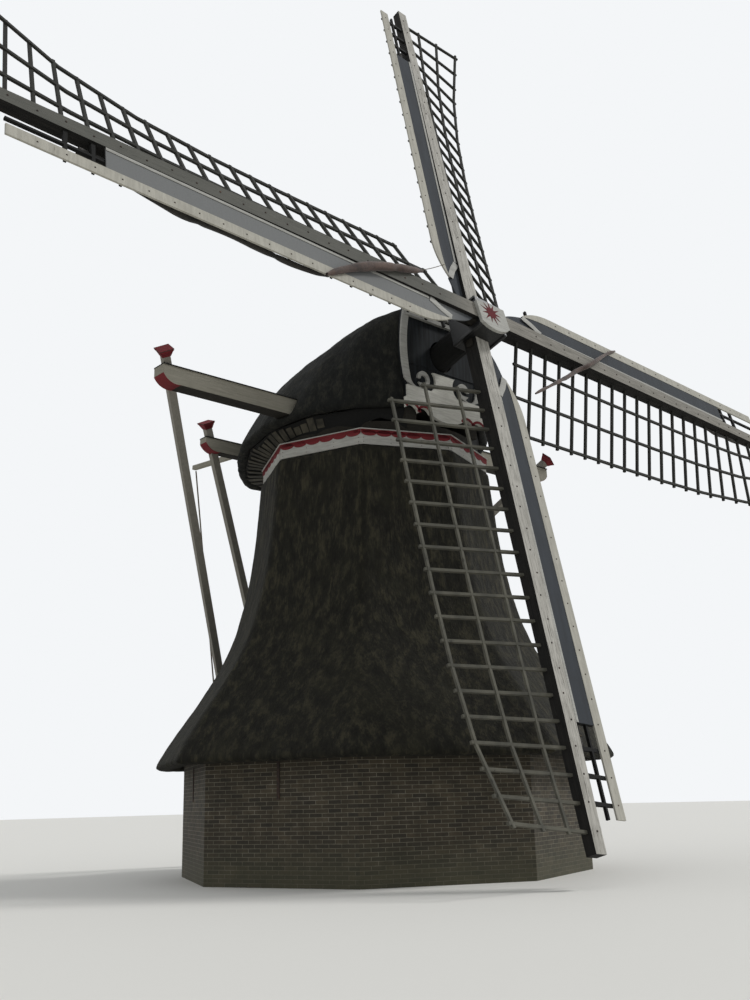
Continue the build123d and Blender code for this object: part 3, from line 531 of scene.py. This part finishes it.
# %% Finishes of the CAD solids
finishes = {
    "brick_wall": brick, "wall_anchors": rusty_iron, "band_boards": white_board, "beard": beard_paint,
    "gable_borders": white_board, "gable_moulding": white_board, "front_gable": gable_paint_and_shade,
    "star_board": white_board, "poll_end": cast_iron, "windshaft": black_oak, "brace_caps": red_paint,
    "long_sprout": grey_paint, "short_sprout": grey_paint, "brake_lever": grey_paint,
    "tail_pole": brace_paint, "long_braces": brace_paint, "short_braces": brace_paint,
    "inner_stock": stock_paint[0], "outer_stock": stock_paint[1], "brake_rope": rope_fibre,
    "wind_boards": panel_paint, "leading_edges": strip_paint, "leading_pegs": black_oak,
    "lower_lattice": lit_lattice_wood, "upper_lattice": shaded_lattice_wood, "left_lattice": shaded_lattice_wood,
    "right_lattice": shaded_lattice_wood, "soffit_boards": black_oak,
}
for name, node in nodes.items():
    node.data.materials.clear()
    node.data.materials.append(finishes.get(name, thatch if "thatch" in name else dark_oak))
for rope in ropes:
    rope.data.materials.append(rope_fibre)
print(len(nodes), "solids finished")

# %% [markdown]
# ## Helpers for new pieces
# Every new piece is shaped in a bmesh and then becomes an object that rides on one of the mill's three
# bodies: the tower stands still, the cap turns on it and the sails turn in the cap. Much of a mill is
# sawn timber, so a second helper adds a block, and bevels its edges where light should catch them.

# %% Piece helpers
def new_piece(name, shape, body, material, smooth=False):
    """Turn a finished bmesh into a piece on a body."""
    mesh = bpy.data.meshes.new(name)
    shape.to_mesh(mesh)
    shape.free()
    mesh.polygons.foreach_set("use_smooth", [smooth] * len(mesh.polygons))
    mesh.materials.append(material)
    piece = bpy.data.objects.new(name, mesh)
    bpy.context.scene.collection.objects.link(piece)
    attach(piece, body)
    print(name, len(mesh.polygons), "faces")
    return piece


def block(shape, matrix, size, edge=0.0):
    """Add a block of a size, with its edges bevelled, at a matrix."""
    made = bmesh.ops.create_cube(shape, size=1, matrix=matrix @ Matrix.Diagonal((*size, 1)))
    if edge:
        edges = {e for v in made["verts"] for e in v.link_edges}
        bmesh.ops.bevel(shape, geom=list(edges), offset=edge, offset_type="OFFSET", segments=2, profile=0.5,
                        affect="EDGES", material=-1)


# %% [markdown]
# ## Scalloped trim
# A red strip with hanging round lobes runs along the top of the white boards, under a thin white bead.
# The strip is sawn from one board, so its lobes and the bar above them share one thickness of 8 mm. The
# lobes are flattened cylinders, as a circle stretched to an oval keeps its even curve. One side is laid
# out flat and copied round the eight sides.

# %% Scalloped trim
tower_turn, band_radius, band_base, band_height = -2.2, 2.185, 7.23, 0.29
side_length = 2 * band_radius * sin(pi / 8)


def side_matrix(index, radius, height):
    """The middle of one tower side: x runs along the side, y up and z outward."""
    middle = radians(tower_turn + 45 * (index + 0.5))
    out = Vector((sin(middle), -cos(middle), 0))
    along = Vector((cos(middle), sin(middle), 0))
    centre = Matrix.Translation(out * radius * cos(pi / 8) + Vector((0, 0, height)))
    return centre @ frame_matrix(along, Vector((0, 0, 1)), out)


lobes, lobe_drop, cusp_drop, trim_thickness = 6, 0.135, 0.08, 8 * mm
corner_gap, bar_inset = 0.01, 0.015
bead_height, bead_depth, bead_lap = 0.018, 0.026, 0.012
lobe_width = (side_length - 2 * corner_gap) / lobes
oval = Matrix.Diagonal((lobe_width, 2 * (lobe_drop - cusp_drop), 1, 1))
trim = bmesh.new()
bead = bmesh.new()
for index in range(8):
    place = side_matrix(index, band_radius, band_base + band_height)
    for lobe in range(lobes):
        spot = Matrix.Translation(((lobe + 0.5 - lobes / 2) * lobe_width, -cusp_drop, trim_thickness / 2))
        bmesh.ops.create_cone(trim, cap_ends=True, segments=20, radius1=0.5, radius2=0.5,
                              depth=trim_thickness, matrix=place @ spot @ oval)
    block(trim, place @ Matrix.Translation((0, -cusp_drop / 2 - corner_gap, trim_thickness / 2)),
          (side_length - corner_gap, cusp_drop - bar_inset, trim_thickness))
    block(bead, place @ Matrix.Translation((0, -bead_height / 2, bead_lap)),
          (side_length + bead_lap, bead_height, bead_depth), 5 * mm)
new_piece("scalloped_trim", trim, "tower", red_paint)
new_piece("band_bead", bead, "tower", white_board, True)

# %% [markdown]
# ## Star on the poll end
# The white board on the poll end carries a painted red sun with eleven thin rays round a small disc, a
# traditional mill ornament. A circle with twice as many corners as rays becomes a star when every second
# corner is drawn in, and every other ray is a little shorter. A disc on top of it rounds its middle.

# %% Star
poll_frame = Matrix.Translation(hub) @ sail_frame(0).to_3x3().to_4x4()
star_front, star_drop, star_thickness = 0.21, 0.04, 4 * mm
rays, ray_length, ray_shortening, waist_share, disc_radius = 11, 0.27, 0.12, 0.34, 0.115
star = bmesh.new()
for index, vert in enumerate(bmesh.ops.create_circle(star, cap_ends=True, segments=2 * rays,
                                                     radius=ray_length)["verts"]):
    vert.co *= waist_share if index % 2 else 1.0 - ray_shortening * (index % 4 == 0)
disc = bmesh.ops.create_circle(star, cap_ends=True, segments=24, radius=disc_radius)["verts"]
bmesh.ops.translate(star, verts=disc, vec=(0, 0, 2 * mm))
bmesh.ops.solidify(star, geom=star.faces[:], thickness=star_thickness)
bmesh.ops.recalc_face_normals(star, faces=star.faces)
star.transform(poll_frame @ Matrix.Translation((0, -star_drop, star_front + star_thickness)))
new_piece("poll_star", star, "sails", star_paint)

# %% [markdown]
# ## Poll end fittings
# The iron box that grips both stocks has raised flanges along its corners, and oak wedges are driven in
# beside each stock where it goes through. Each flange is a bevelled bar; a wedge is a block whose outer
# end is made thinner.

# %% Poll end fittings
poll_half, poll_rear, poll_front = 0.32, -0.56, 0.15
flange_width, flange_inset = 0.06, 0.012
flanges = bmesh.new()
for across in (-1, 1):
    for up in (-1, 1):
        block(flanges, poll_frame @ Matrix.Translation((across * (poll_half - flange_inset),
                                                        up * (poll_half - flange_inset),
                                                        (poll_rear + poll_front) / 2)),
              (flange_width, flange_width, poll_front - poll_rear - 0.01), 8 * mm)
new_piece("poll_flanges", flanges, "sails", cast_iron, True)

wedge_reach, wedge_side, wedge_size, wedge_taper = 0.36, 0.185, (0.2, 0.045, 0.16), 0.7
wedges = bmesh.new()
for index in range(4):
    stock = sail_frame(index)
    for side in (-1, 1):
        made = bmesh.ops.create_cube(wedges, size=1, matrix=stock
                                     @ Matrix.Translation((wedge_reach, side * wedge_side, 0))
                                     @ Matrix.Diagonal((*wedge_size, 1)))["verts"]
        outer = [vert for vert in made if (stock.inverted() @ vert.co).x > wedge_reach]
        middle = sum((vert.co for vert in outer), Vector()) / len(outer)
        for vert in outer:
            vert.co = middle + (vert.co - middle) * wedge_taper
new_piece("poll_wedges", wedges, "sails", dark_oak)

# %% [markdown]
# ## Bolts
# Carriage bolts hold the cross bars in the stocks and the strips on their pegs. Hundreds of them show
# as small dark dots, so each is a low dome of few faces. There is one at each cross bar, a little to
# either side of the stock's middle in turn, on a front that comes back as the stock gets thinner.

# %% Bolts
def bolt_row(shape, matrix, places, radius=18 * mm):
    """Add a dome for each place, standing along the matrix's z."""
    for place in places:
        bmesh.ops.create_cone(shape, cap_ends=True, segments=8, radius1=radius, radius2=radius * 0.55,
                              depth=radius * 0.7, matrix=matrix @ Matrix.Translation(place))


first_bars, bar_pitch, last_bar = (1.84, 1.23), 0.4, 9.26
heel_front, front_taper, heel_reach, stock_reach = 0.145, 0.055, 0.32, 9.03
bolt_stagger, bolt_rise = 0.02, 4 * mm
strip_middle, strip_front, strip_start, strip_end = 0.62, 0.104, 1.9, 8.8
bolts = bmesh.new()
for index in range(4):
    first = first_bars[index % 2]
    bars = [first + bar_pitch * step for step in range(int((last_bar - first) / bar_pitch) + 1)]
    stock_front = [heel_front - front_taper * (r - heel_reach) / stock_reach for r in bars]
    bolt_row(bolts, sail_frame(index), [(r, bolt_stagger * (-1) ** step, z + bolt_rise)
                                        for step, (r, z) in enumerate(zip(bars, stock_front))])
    bolt_row(bolts, sail_frame(index), [(r, strip_middle, strip_front) for r in bars
                                        if strip_start < r < strip_end], 14 * mm)
new_piece("stock_bolts", bolts, "sails", rusty_iron, True)

# %% [markdown]
# ## Rolled sail cloths
# Each sail carries its canvas rolled up behind the leading boards and tied with short ropes. A solid
# sausage would have the outline but not the ends, so the cloth is really rolled: a flat grid of the cut
# size is wound into a spiral like a carpet, pressed in at its ties, and bent along a line by a Curve
# modifier. Winding keeps the cloth's area, so it is still the cloth that was cut.

# %% Cloth rolling
def wind_cloth(length, width, core, outer, ties, lumps, taper):
    """A flat cloth wound up along X from a core radius to an outer one, pressed in at its ties; taper is
    the share by which the roll is drawn in towards its ends."""
    grid_along, grid_across = 0.06, 0.025
    tie_reach, tie_press = 0.07, 0.22
    layer = pi * (outer ** 2 - core ** 2) / width
    rate = layer / (2 * pi)
    cloth = bmesh.new()
    flat = cloth.loops.layers.uv.new("flat")
    bmesh.ops.create_grid(cloth, x_segments=int(length / grid_along), y_segments=int(width / grid_across),
                          size=0.5, calc_uvs=True)
    for face in cloth.faces:
        for loop in face.loops:
            loop[flat].uv = ((loop.vert.co.x + 0.5) * length, (loop.vert.co.y + 0.5) * width)
    for vert in cloth.verts:
        x, wound = (vert.co.x + 0.5) * length, (vert.co.y + 0.5) * width
        turn = (sqrt(core ** 2 + 2 * rate * wound) - core) / rate
        press = sum(exp(-((x - tie) / tie_reach) ** 2) for tie in ties)
        radius = (core + rate * turn) * (1 - tie_press * press) * (1 - taper * abs(2 * x / length - 1) ** 3)
        radius += lumps * noise.noise(Vector((x * 2.5, cos(turn) * 0.8, sin(turn) * 0.8)))
        vert.co = (x, radius * cos(turn + x), radius * sin(turn + x))
    return cloth


def stow_cloth(name, index, line, width, core, outer, ties, material, stands_for=(),
               lumps=5 * mm, taper=0.0):
    """Wind a cloth and bend it along a line of points in one sail's own frame."""
    route, _ = smooth_line(name + "_line", line, 12)
    drawn = bpy.data.meshes.new_from_object(route)
    spots = [vert.co for vert in drawn.vertices]
    length = sum((spots[edge.vertices[0]] - spots[edge.vertices[1]]).length for edge in drawn.edges)
    rolled = bpy.data.meshes.new(name)
    cloth = wind_cloth(length, width, core, outer, [share * length for share in ties], lumps, taper)
    cloth.to_mesh(rolled)
    cloth.free()
    holder = bpy.data.objects.new(name + "_flat", rolled)
    bpy.context.scene.collection.objects.link(holder)
    bend = holder.modifiers.new("bend", "CURVE")
    bend.object, bend.deform_axis = route, "POS_X"
    shape = bmesh.new()
    shape.from_mesh(baked(holder))
    bpy.data.objects.remove(route)
    shape.transform(sail_frame(index))
    piece = new_piece(name, shape, "sails", material, True)
    if stands_for:
        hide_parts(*stands_for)
    return length


roll_width, roll_core, roll_outer = 1.5, 8 * mm, 70 * mm
print("the rolls have", round(roll_width / (pi * (roll_core + roll_outer)), 1), "turns of cloth")

# %% [markdown]
# ## One roll on each sail
# The roll lies just behind the pegs of the leading boards, which its ties make fast to them. Its line
# sways a little from side to side and sags, since a line that is quite straight would look like a pipe.
# All four sails are stowed alike.

# %% Rolled cloths of the four sails
tie_shares = [0.04, 0.2, 0.36, 0.52, 0.68, 0.84, 0.97]
roll_start, roll_end, roll_side, roll_depth = 1.6, 7.8, 0.265, -0.055
roll_steps, roll_sway, roll_sag = 12, 8 * mm, 4 * mm
roll_line = [(roll_start + (roll_end - roll_start) * step / roll_steps,
              roll_side + (roll_sway if step % 2 else -roll_sway),
              roll_depth - (roll_sag if step % 2 else 0)) for step in range(roll_steps + 1)]
for index, name in enumerate(sail_names):
    length = stow_cloth(f"{name}_rolled_cloth", index, roll_line, roll_width, roll_core, roll_outer,
                        tie_shares, shaded_canvas, [f"{name}_cloth"])
print("cloth rolls", round(length, 2), "m long")

# %% [markdown]
# ## Cloth ties
# Short ropes with wooden toggles hold the rolls. A tie is a closed ring of rope, made by spinning a small
# circle round the roll's line. A toggle is a turned peg, thicker in its middle, tucked under the ring: two
# cones that meet at their wide ends.

# %% Cloth ties
tie_radius, rope_radius = 62 * mm, 8 * mm
toggle_half, toggle_middle, toggle_end, toggle_shift, toggle_drop = 0.07, 13 * mm, 8 * mm, 0.02, 0.08
ties = bmesh.new()
toggles = bmesh.new()
for index in range(4):
    for share in tie_shares:
        place = sail_frame(index) @ Matrix.Translation((roll_start + (roll_end - roll_start) * share,
                                                        roll_side, roll_depth))
        before = len(ties.verts)
        profile = bmesh.ops.create_circle(ties, segments=6, radius=rope_radius,
                                          matrix=Matrix.Translation((0, tie_radius, 0)))
        edges = {e for v in profile["verts"] for e in v.link_edges}
        bmesh.ops.spin(ties, geom=profile["verts"] + list(edges), cent=(0, 0, 0), axis=(1, 0, 0),
                       angle=2 * pi, steps=14, use_merge=True)
        ties.verts.ensure_lookup_table()
        bmesh.ops.transform(ties, matrix=place, verts=ties.verts[before:])
    for share in tie_shares[1::2]:
        spot = (roll_start + (roll_end - roll_start) * share + toggle_shift, roll_side + toggle_shift,
                roll_depth - toggle_drop)
        place = sail_frame(index) @ Matrix.Translation(spot)
        for flip in (180, 0):
            lying = place @ Matrix.Rotation(radians(90), 4, "Y") @ Matrix.Rotation(radians(flip), 4, "X")
            bmesh.ops.create_cone(toggles, cap_ends=True, segments=8, radius1=toggle_middle,
                                  radius2=toggle_end, depth=toggle_half,
                                  matrix=lying @ Matrix.Translation((0, 0, toggle_half / 2)))
bmesh.ops.recalc_face_normals(ties, faces=ties.faces)
new_piece("cloth_ties", ties, "sails", rope_fibre, True)
new_piece("tie_toggles", toggles, "sails", dark_oak)

# %% [markdown]
# ## Loose cloth
# On the left sail a length of cloth has slipped out behind the strip and sags between its ties. Its inner
# end comes round to the front and over the stock, and a rope draws it to the next sail. It is made as two
# pieces, one behind the strip and one in front, whose thin ends meet at the strip's edge. On the right
# sail a twisted end crosses from the lattice over the stock and hooks on the strip, and a short bight
# hangs out behind the stock. All are cloth wound tightly, so the same winding is bent along their routes,
# with more lumps and with thinner ends. The points of each route are places in the sail's own frame.

# %% Loose cloth
left_end_line = [(3.8, 0.76, 0.13), (3.55, 0.58, 0.14), (3.1, 0.30, 0.17), (2.7, 0.12, 0.20),
                 (2.2, -0.07, 0.205), (1.85, -0.2, 0.19), (1.6, -0.3, 0.17)]
slack_line = [(7.25, 0.42, -0.05), (6.9, 0.52, -0.055), (6.3, 0.61, -0.06), (5.7, 0.57, -0.06),
              (5.2, 0.56, -0.06), (4.7, 0.62, -0.065), (4.2, 0.64, -0.06), (3.85, 0.61, -0.05),
              (3.6, 0.56, -0.045)]
right_end_line = [(0.86, -1.35, 0.03), (1.5, -0.92, 0.05), (2.1, -0.5, 0.03), (2.42, -0.26, 0.05),
                  (2.62, -0.17, 0.19), (2.95, 0.08, 0.20), (3.3, 0.34, 0.14), (3.6, 0.56, 0.13),
                  (3.86, 0.7, 0.125)]
bight_line = [(6.9, -0.13, -0.07), (7.25, -0.19, -0.06), (7.7, -0.16, -0.05), (8.1, -0.2, -0.04)]
loose = [
    stow_cloth("left_cloth_end", 3, left_end_line, 1.5, 6 * mm, 82 * mm, (0.02, 0.7, 0.98), brown_canvas,
               lumps=16 * mm, taper=0.6),
    stow_cloth("left_cloth_slack", 3, slack_line, 1.3, 6 * mm, 58 * mm, (0.02, 0.36, 0.72, 0.98), shaded_canvas,
               lumps=14 * mm, taper=0.5),
    stow_cloth("right_cloth_end", 1, right_end_line, 0.7, 6 * mm, 46 * mm, (0.0, 0.3, 0.62, 1.0),
               brown_canvas, lumps=14 * mm, taper=0.5),
    stow_cloth("right_cloth_bight", 1, bight_line, 0.5, 5 * mm, 38 * mm, (0.1, 0.55, 0.9), shaded_canvas,
               lumps=14 * mm, taper=0.5)]
print("loose cloths", [round(length, 2) for length in loose], "m long")

# %% [markdown]
# ## White borders on the sails
# A flat white border covers the joint of each slate panel with its stock, and a wider one runs round the
# panel's inner end to the strip. A border of even width along a line is a curve whose extrude gives the
# width; its points are tilted by a quarter turn, so that it lies flat. It is turned into a mesh and
# copied to the four sails.

# %% White borders
def border_mesh(line, width):
    """A flat border with rounded edges along a smooth line."""
    holder, spline = smooth_line("border", line, 6)
    holder.data.extrude, holder.data.bevel_depth, holder.data.bevel_resolution = width / 2, 5 * mm, 1
    for point in spline.points:
        point.tilt = radians(90)
    return baked(holder)


joint_height, joint_width, end_height, end_width = 0.098, 0.045, 0.099, 0.12
joint_line = [(x, y, joint_height) for x, y in ((7.46, 0.155), (4.5, 0.172), (1.75, 0.187), (1.50, 0.189))]
end_line = [(x, y, end_height) for x, y in ((1.47, 0.19), (1.39, 0.225), (1.33, 0.27), (1.25, 0.32),
                                            (1.13, 0.372), (1.02, 0.42))]
borders = bmesh.new()
for line, width in ((joint_line, joint_width), (end_line, end_width)):
    shape = border_mesh(line, width)
    for index in range(4):
        before = len(borders.verts)
        borders.from_mesh(shape)
        borders.verts.ensure_lookup_table()
        bmesh.ops.transform(borders, matrix=sail_frame(index), verts=borders.verts[before:])
bmesh.ops.recalc_face_normals(borders, faces=borders.faces)
new_piece("panel_borders", borders, "sails", white_board, True)

# %% [markdown]
# ## Beard lining and gable rail
# The lower edge of the beard is cut in lobes, and each lobe has a red line along it. A lobe is part of a
# circle, so the line is a flat profile spun round that circle's centre, which follows from the lobe's two
# ends and how far it rises over the line between them. The rail is a thin bar across the gable.

# %% Beard lining
gable_front, sheer_top, beard_front = 1.96, 7.9566, 0.07


def arc_strip(shape, start, end, rise, reaches, depths):
    """A strip round an arc across the cap: rise is how far the arc's middle lies over its chord, reaches
    are the strip's distances outside the arc and depths its places along Y."""
    bulge = (end - start).normalized().cross(Vector((0, 1, 0))) * (1 if rise > 0 else -1)
    radius = ((end - start).length ** 2 / 4 + rise ** 2) / (2 * abs(rise))
    centre = (start + end) / 2 - bulge * (radius - abs(rise))
    first, last = (start, end) if rise > 0 else (end, start)
    out = (first - centre).normalized()
    corners = [shape.verts.new(first + out * reaches[across] + Vector((0, depths[deep], 0)))
               for across, deep in ((0, 0), (1, 0), (1, 1), (0, 1))]
    profile = shape.faces.new(corners)
    bmesh.ops.spin(shape, geom=[profile, *profile.edges, *profile.verts], cent=centre, axis=(0, 1, 0),
                   angle=(first - centre).angle(last - centre), steps=10)


lobe_ends = ((0.99, -0.056), (0.69, -0.106), (0.42, -0.056))
lobe_top, lining_width, lining_thickness = 0.012, 0.05, 6 * mm
lining = bmesh.new()
for side in (-1, 1):
    spots = [Vector((side * x, -(gable_front + beard_front), sheer_top + z)) for x, z in lobe_ends]
    for pair in zip(spots, spots[1:]):
        left, right = sorted(pair, key=lambda spot: spot.x)
        arc_strip(lining, left, right, lobe_top - (left.z + right.z) / 2 + sheer_top, (0, lining_width),
                  (0, -lining_thickness))
bmesh.ops.recalc_face_normals(lining, faces=lining.faces)
new_piece("beard_lining", lining, "cap", red_paint)

rail_size, rail_height = (1.90, 0.016, 0.022), 8.80
rail = bmesh.new()
block(rail, Matrix.Translation((0, -gable_front - rail_size[1] / 2, rail_height)), rail_size, 4 * mm)
new_piece("gable_rail", rail, "cap", gable_paint_and_shade)

# %% [markdown]
# ## Soffit boards
# Under the hood's edge thin boards run from the turning ring out to the thatch, side by side like a fan.
# The CAD has the plain surface they are nailed to. For each board rays are cast up, further and further
# from the middle, to find where that surface begins and ends. A board is straight and the surface is
# curved, so the board is let down until it clears every place that the rays hit.

# %% Soffit boards
boards_round, board_width, board_thickness, board_step = 76, 0.145, 8 * mm, 3 * mm
ray_start, ray_reaches = 7.0, range(202, 330, 4)
soffit = nodes["soffit_boards"].data
surface = BVHTree.FromPolygons([v.co for v in soffit.vertices], [tuple(p.vertices) for p in soffit.polygons])
fan = bmesh.new()
for index in range(boards_round):
    bearing = 2 * pi * (index + 0.5) / boards_round
    out = Vector((sin(bearing), -cos(bearing), 0))
    hits = [surface.ray_cast(out * reach * 0.01 + Vector((0, 0, ray_start)), Vector((0, 0, 1)))[0]
            for reach in ray_reaches]
    found = [hit for hit in hits if hit is not None]
    if len(found) < 3:
        continue
    near, far = found[0], found[-1]
    along = (far - near).normalized()
    across = Vector((0, 0, 1)).cross(along).normalized()
    place = frame_matrix(along, across, along.cross(across))
    shares = [(hit - near).xy.length / (far - near).xy.length for hit in found]
    sag = max(near.lerp(far, share).z - hit.z for share, hit in zip(shares, found))
    place.translation = (near + far) / 2 - Vector((0, 0, sag + 6 * mm + board_step * (index % 2)))
    block(fan, place, ((far - near).length, board_width, board_thickness))
new_piece("soffit_fan", fan, "cap", grey_oak)

# %% [markdown]
# ## Sprout covers and noses
# A strip of dark roofing lies on top of each sprout, a thin dark skin under it is painted shade, and the
# rounded nose is painted red. All three are thin skins on the CAD beam, so the beam's own size still shows
# through. The nose is an arc again, so the strip that lined the beard makes it too.

# %% Sprout covers and noses
# Half length, place along Y, width and height of the long sprout and the short one.
sprouts = ((4.88, -0.18, 0.30, 0.30), (2.40, 2.35, 0.22, 0.25))
inner, nose, nose_rise, nose_bulge = 1.2, 0.33, 0.15, -0.059
cover_rise, cover_lap, cover_thickness, skin = 0.022, 0.03, 0.024, 2 * mm
covers = bmesh.new()
bellies = bmesh.new()
noses = bmesh.new()
for outer, y, width, height in sprouts:
    top = sheer_top + height + cover_rise
    for side in (-1, 1):
        block(covers, Matrix.Translation((side * (inner + outer) / 2, y, top - 9 * mm)),
              (outer - inner, width + cover_lap, cover_thickness), 3 * mm)
        # A thin dark skin under the sprout: painted shade.
        block(bellies, Matrix.Translation((side * (inner + outer - nose) / 2, y, sheer_top - skin / 2)),
              (outer - nose - inner, width + skin, 2 * skin))
        ends = [Vector((side * (outer - nose), y, sheer_top)),
                Vector((side * outer, y, sheer_top + nose_rise))]
        left, right = sorted(ends, key=lambda spot: spot.x)
        arc_strip(noses, left, right, nose_bulge, (-skin / 2, 2 * skin),
                  (-width / 2 - skin, width / 2 + skin))
bmesh.ops.recalc_face_normals(noses, faces=noses.faces)
new_piece("sprout_covers", covers, "cap", black_oak)
new_piece("sprout_bellies", bellies, "cap", dark_oak)
new_piece("sprout_noses", noses, "cap", red_paint)

# %% [markdown]
# ## The brace caps
# Each brace ends in a square board, and all of these boards are one CAD node. What is put round a board
# needs its place and its lean, so the node's mesh is merged and parted into its islands, each of which is
# one board with eight corners. The shortest edge at its lowest corner is its thickness, and so its axis.

# %% Places of the brace caps
cap_parts = bmesh.new()
cap_parts.from_mesh(nodes["brace_caps"].data)
bmesh.ops.remove_doubles(cap_parts, verts=cap_parts.verts, dist=0.1 * mm)
cap_places = []
left_over = list(cap_parts.verts)
while left_over:
    reached = [left_over[0]]
    for vert in reached:
        reached += [other for edge in vert.link_edges for other in edge.verts if other not in reached]
    left_over = [vert for vert in left_over if vert not in reached]
    corners = [vert.co.copy() for vert in reached]
    low = min(corners, key=lambda corner: corner.z)
    edges = sorted((corner - low for corner in corners if corner != low), key=lambda edge: edge.length)[:3]
    up = edges[0].normalized() * (1 if edges[0].z > 0 else -1)
    across = edges[1].normalized()
    place = frame_matrix(across, up.cross(across), up)
    place.translation = sum(corners, Vector()) / len(corners)
    cap_places.append(place)
cap_parts.free()
print("brace caps:", len(cap_places))

# %% [markdown]
# ## Brace cap mouldings
# Under each board a red moulding flares out to carry it, and a dark iron band goes round the board's
# edge. A cone with four sides is a square that widens, so one operator makes the flare.

# %% Brace cap mouldings
flare_foot, flare_top, flare_height, flare_drop = 0.105, 0.165, 0.10, 0.0675
band_size, band_lift = (0.266, 0.266, 10 * mm), 0.011
mouldings = bmesh.new()
edge_bands = bmesh.new()
for place in cap_places:
    under = place @ Matrix.Translation((0, 0, -flare_drop))
    bmesh.ops.create_cone(mouldings, cap_ends=True, segments=4, radius1=flare_foot, radius2=flare_top,
                          depth=flare_height, matrix=under @ Matrix.Rotation(radians(45), 4, "Z"))
    block(edge_bands, place @ Matrix.Translation((0, 0, band_lift)), band_size, 2 * mm)
new_piece("brace_mouldings", mouldings, "cap", red_paint)
new_piece("brace_edge_bands", edge_bands, "cap", rusty_iron, True)

# %% [markdown]
# ## Corner boards and nails
# Between the white boards a narrow corner board closes each corner of the tower. Its front is set back
# by as much as the corner is cut off at its width.
#
# The boards round the top of the tower are nailed near each end and nearer the middle. A nail head is a
# low dome, the same as a bolt but smaller.

# %% Corner boards and band nails
corners = bmesh.new()
corner_width, corner_depth = 0.085, 0.03
corner_reach = band_radius - corner_width / 2 * sin(pi / 8) / cos(pi / 8) - corner_depth / 2
for index in range(8):
    bearing = radians(tower_turn + 45 * index)
    place = (Matrix.Rotation(bearing, 4, "Z")
             @ Matrix.Translation((0, -corner_reach, band_base + band_height / 2)))
    block(corners, place, (corner_width, corner_depth, band_height))
new_piece("band_corners", corners, "tower", white_board)

nail_shares, nail_drops, nail_radius = (-0.47, -0.17, 0.17, 0.47), (0.17, 0.25), 9 * mm
nails = bmesh.new()
for index in range(8):
    place = side_matrix(index, band_radius, band_base + band_height)
    bolt_row(nails, place, [(share * side_length, -drop, 1 * mm) for share in nail_shares
                            for drop in nail_drops], nail_radius)
new_piece("band_nails", nails, "tower", rusty_iron)

# %% [markdown]
# ## Floor and light
# The floor is plain and pale, and the light is soft and nearly even, as under a bright overcast sky,
# with one wide lamp from the right to model the round of the thatch. The background is white only for
# the camera and in reflections, so it adds no light of its own.

# %% Floor and light
floor_shape = bmesh.new()
bmesh.ops.create_grid(floor_shape, x_segments=1, y_segments=1, size=150)
floor_mesh = bpy.data.meshes.new("floor")
floor_shape.to_mesh(floor_mesh)
floor_shape.free()
floor_paint, floor_shader, _ = start_material("pale_floor", 0.9)
floor_shader.inputs["Base Color"].default_value = linear("#dedcd6")
floor_mesh.materials.append(floor_paint)
floor = bpy.data.objects.new("floor", floor_mesh)
bpy.context.scene.collection.objects.link(floor)

world = bpy.data.worlds.new("studio")
bpy.context.scene.world = world
world.use_nodes = True
sky = world.node_tree.nodes["Background"]
sky.inputs["Color"].default_value = linear("#f2f5f8")
sky.inputs["Strength"].default_value = 0.62
seen = add_node(world, "ShaderNodeBackground", {"Color": linear("#f4f6f8")})
rays = add_node(world, "ShaderNodeLightPath").outputs
either = add_node(world, "ShaderNodeMath", {0: rays["Is Camera Ray"], 1: rays["Is Glossy Ray"]},
                  operation="MAXIMUM")
swap = add_node(world, "ShaderNodeMixShader", {0: either.outputs[0], 1: sky.outputs[0], 2: seen.outputs[0]})
world.node_tree.links.new(swap.outputs[0], world.node_tree.nodes["World Output"].inputs["Surface"])

lamp_data = bpy.data.lights.new("wide_lamp", "SUN")
lamp_data.energy = 1.6
lamp_data.angle = radians(12)
lamp = bpy.data.objects.new("wide_lamp", lamp_data)
lamp.matrix_world = Vector((0.75, -0.45, 0.75)).to_track_quat("Z", "Y").to_matrix().to_4x4()
bpy.context.scene.collection.objects.link(lamp)
bpy.context.scene.view_settings.view_transform = "Standard"
print("lamp strength", round(lamp_data.energy, 2))
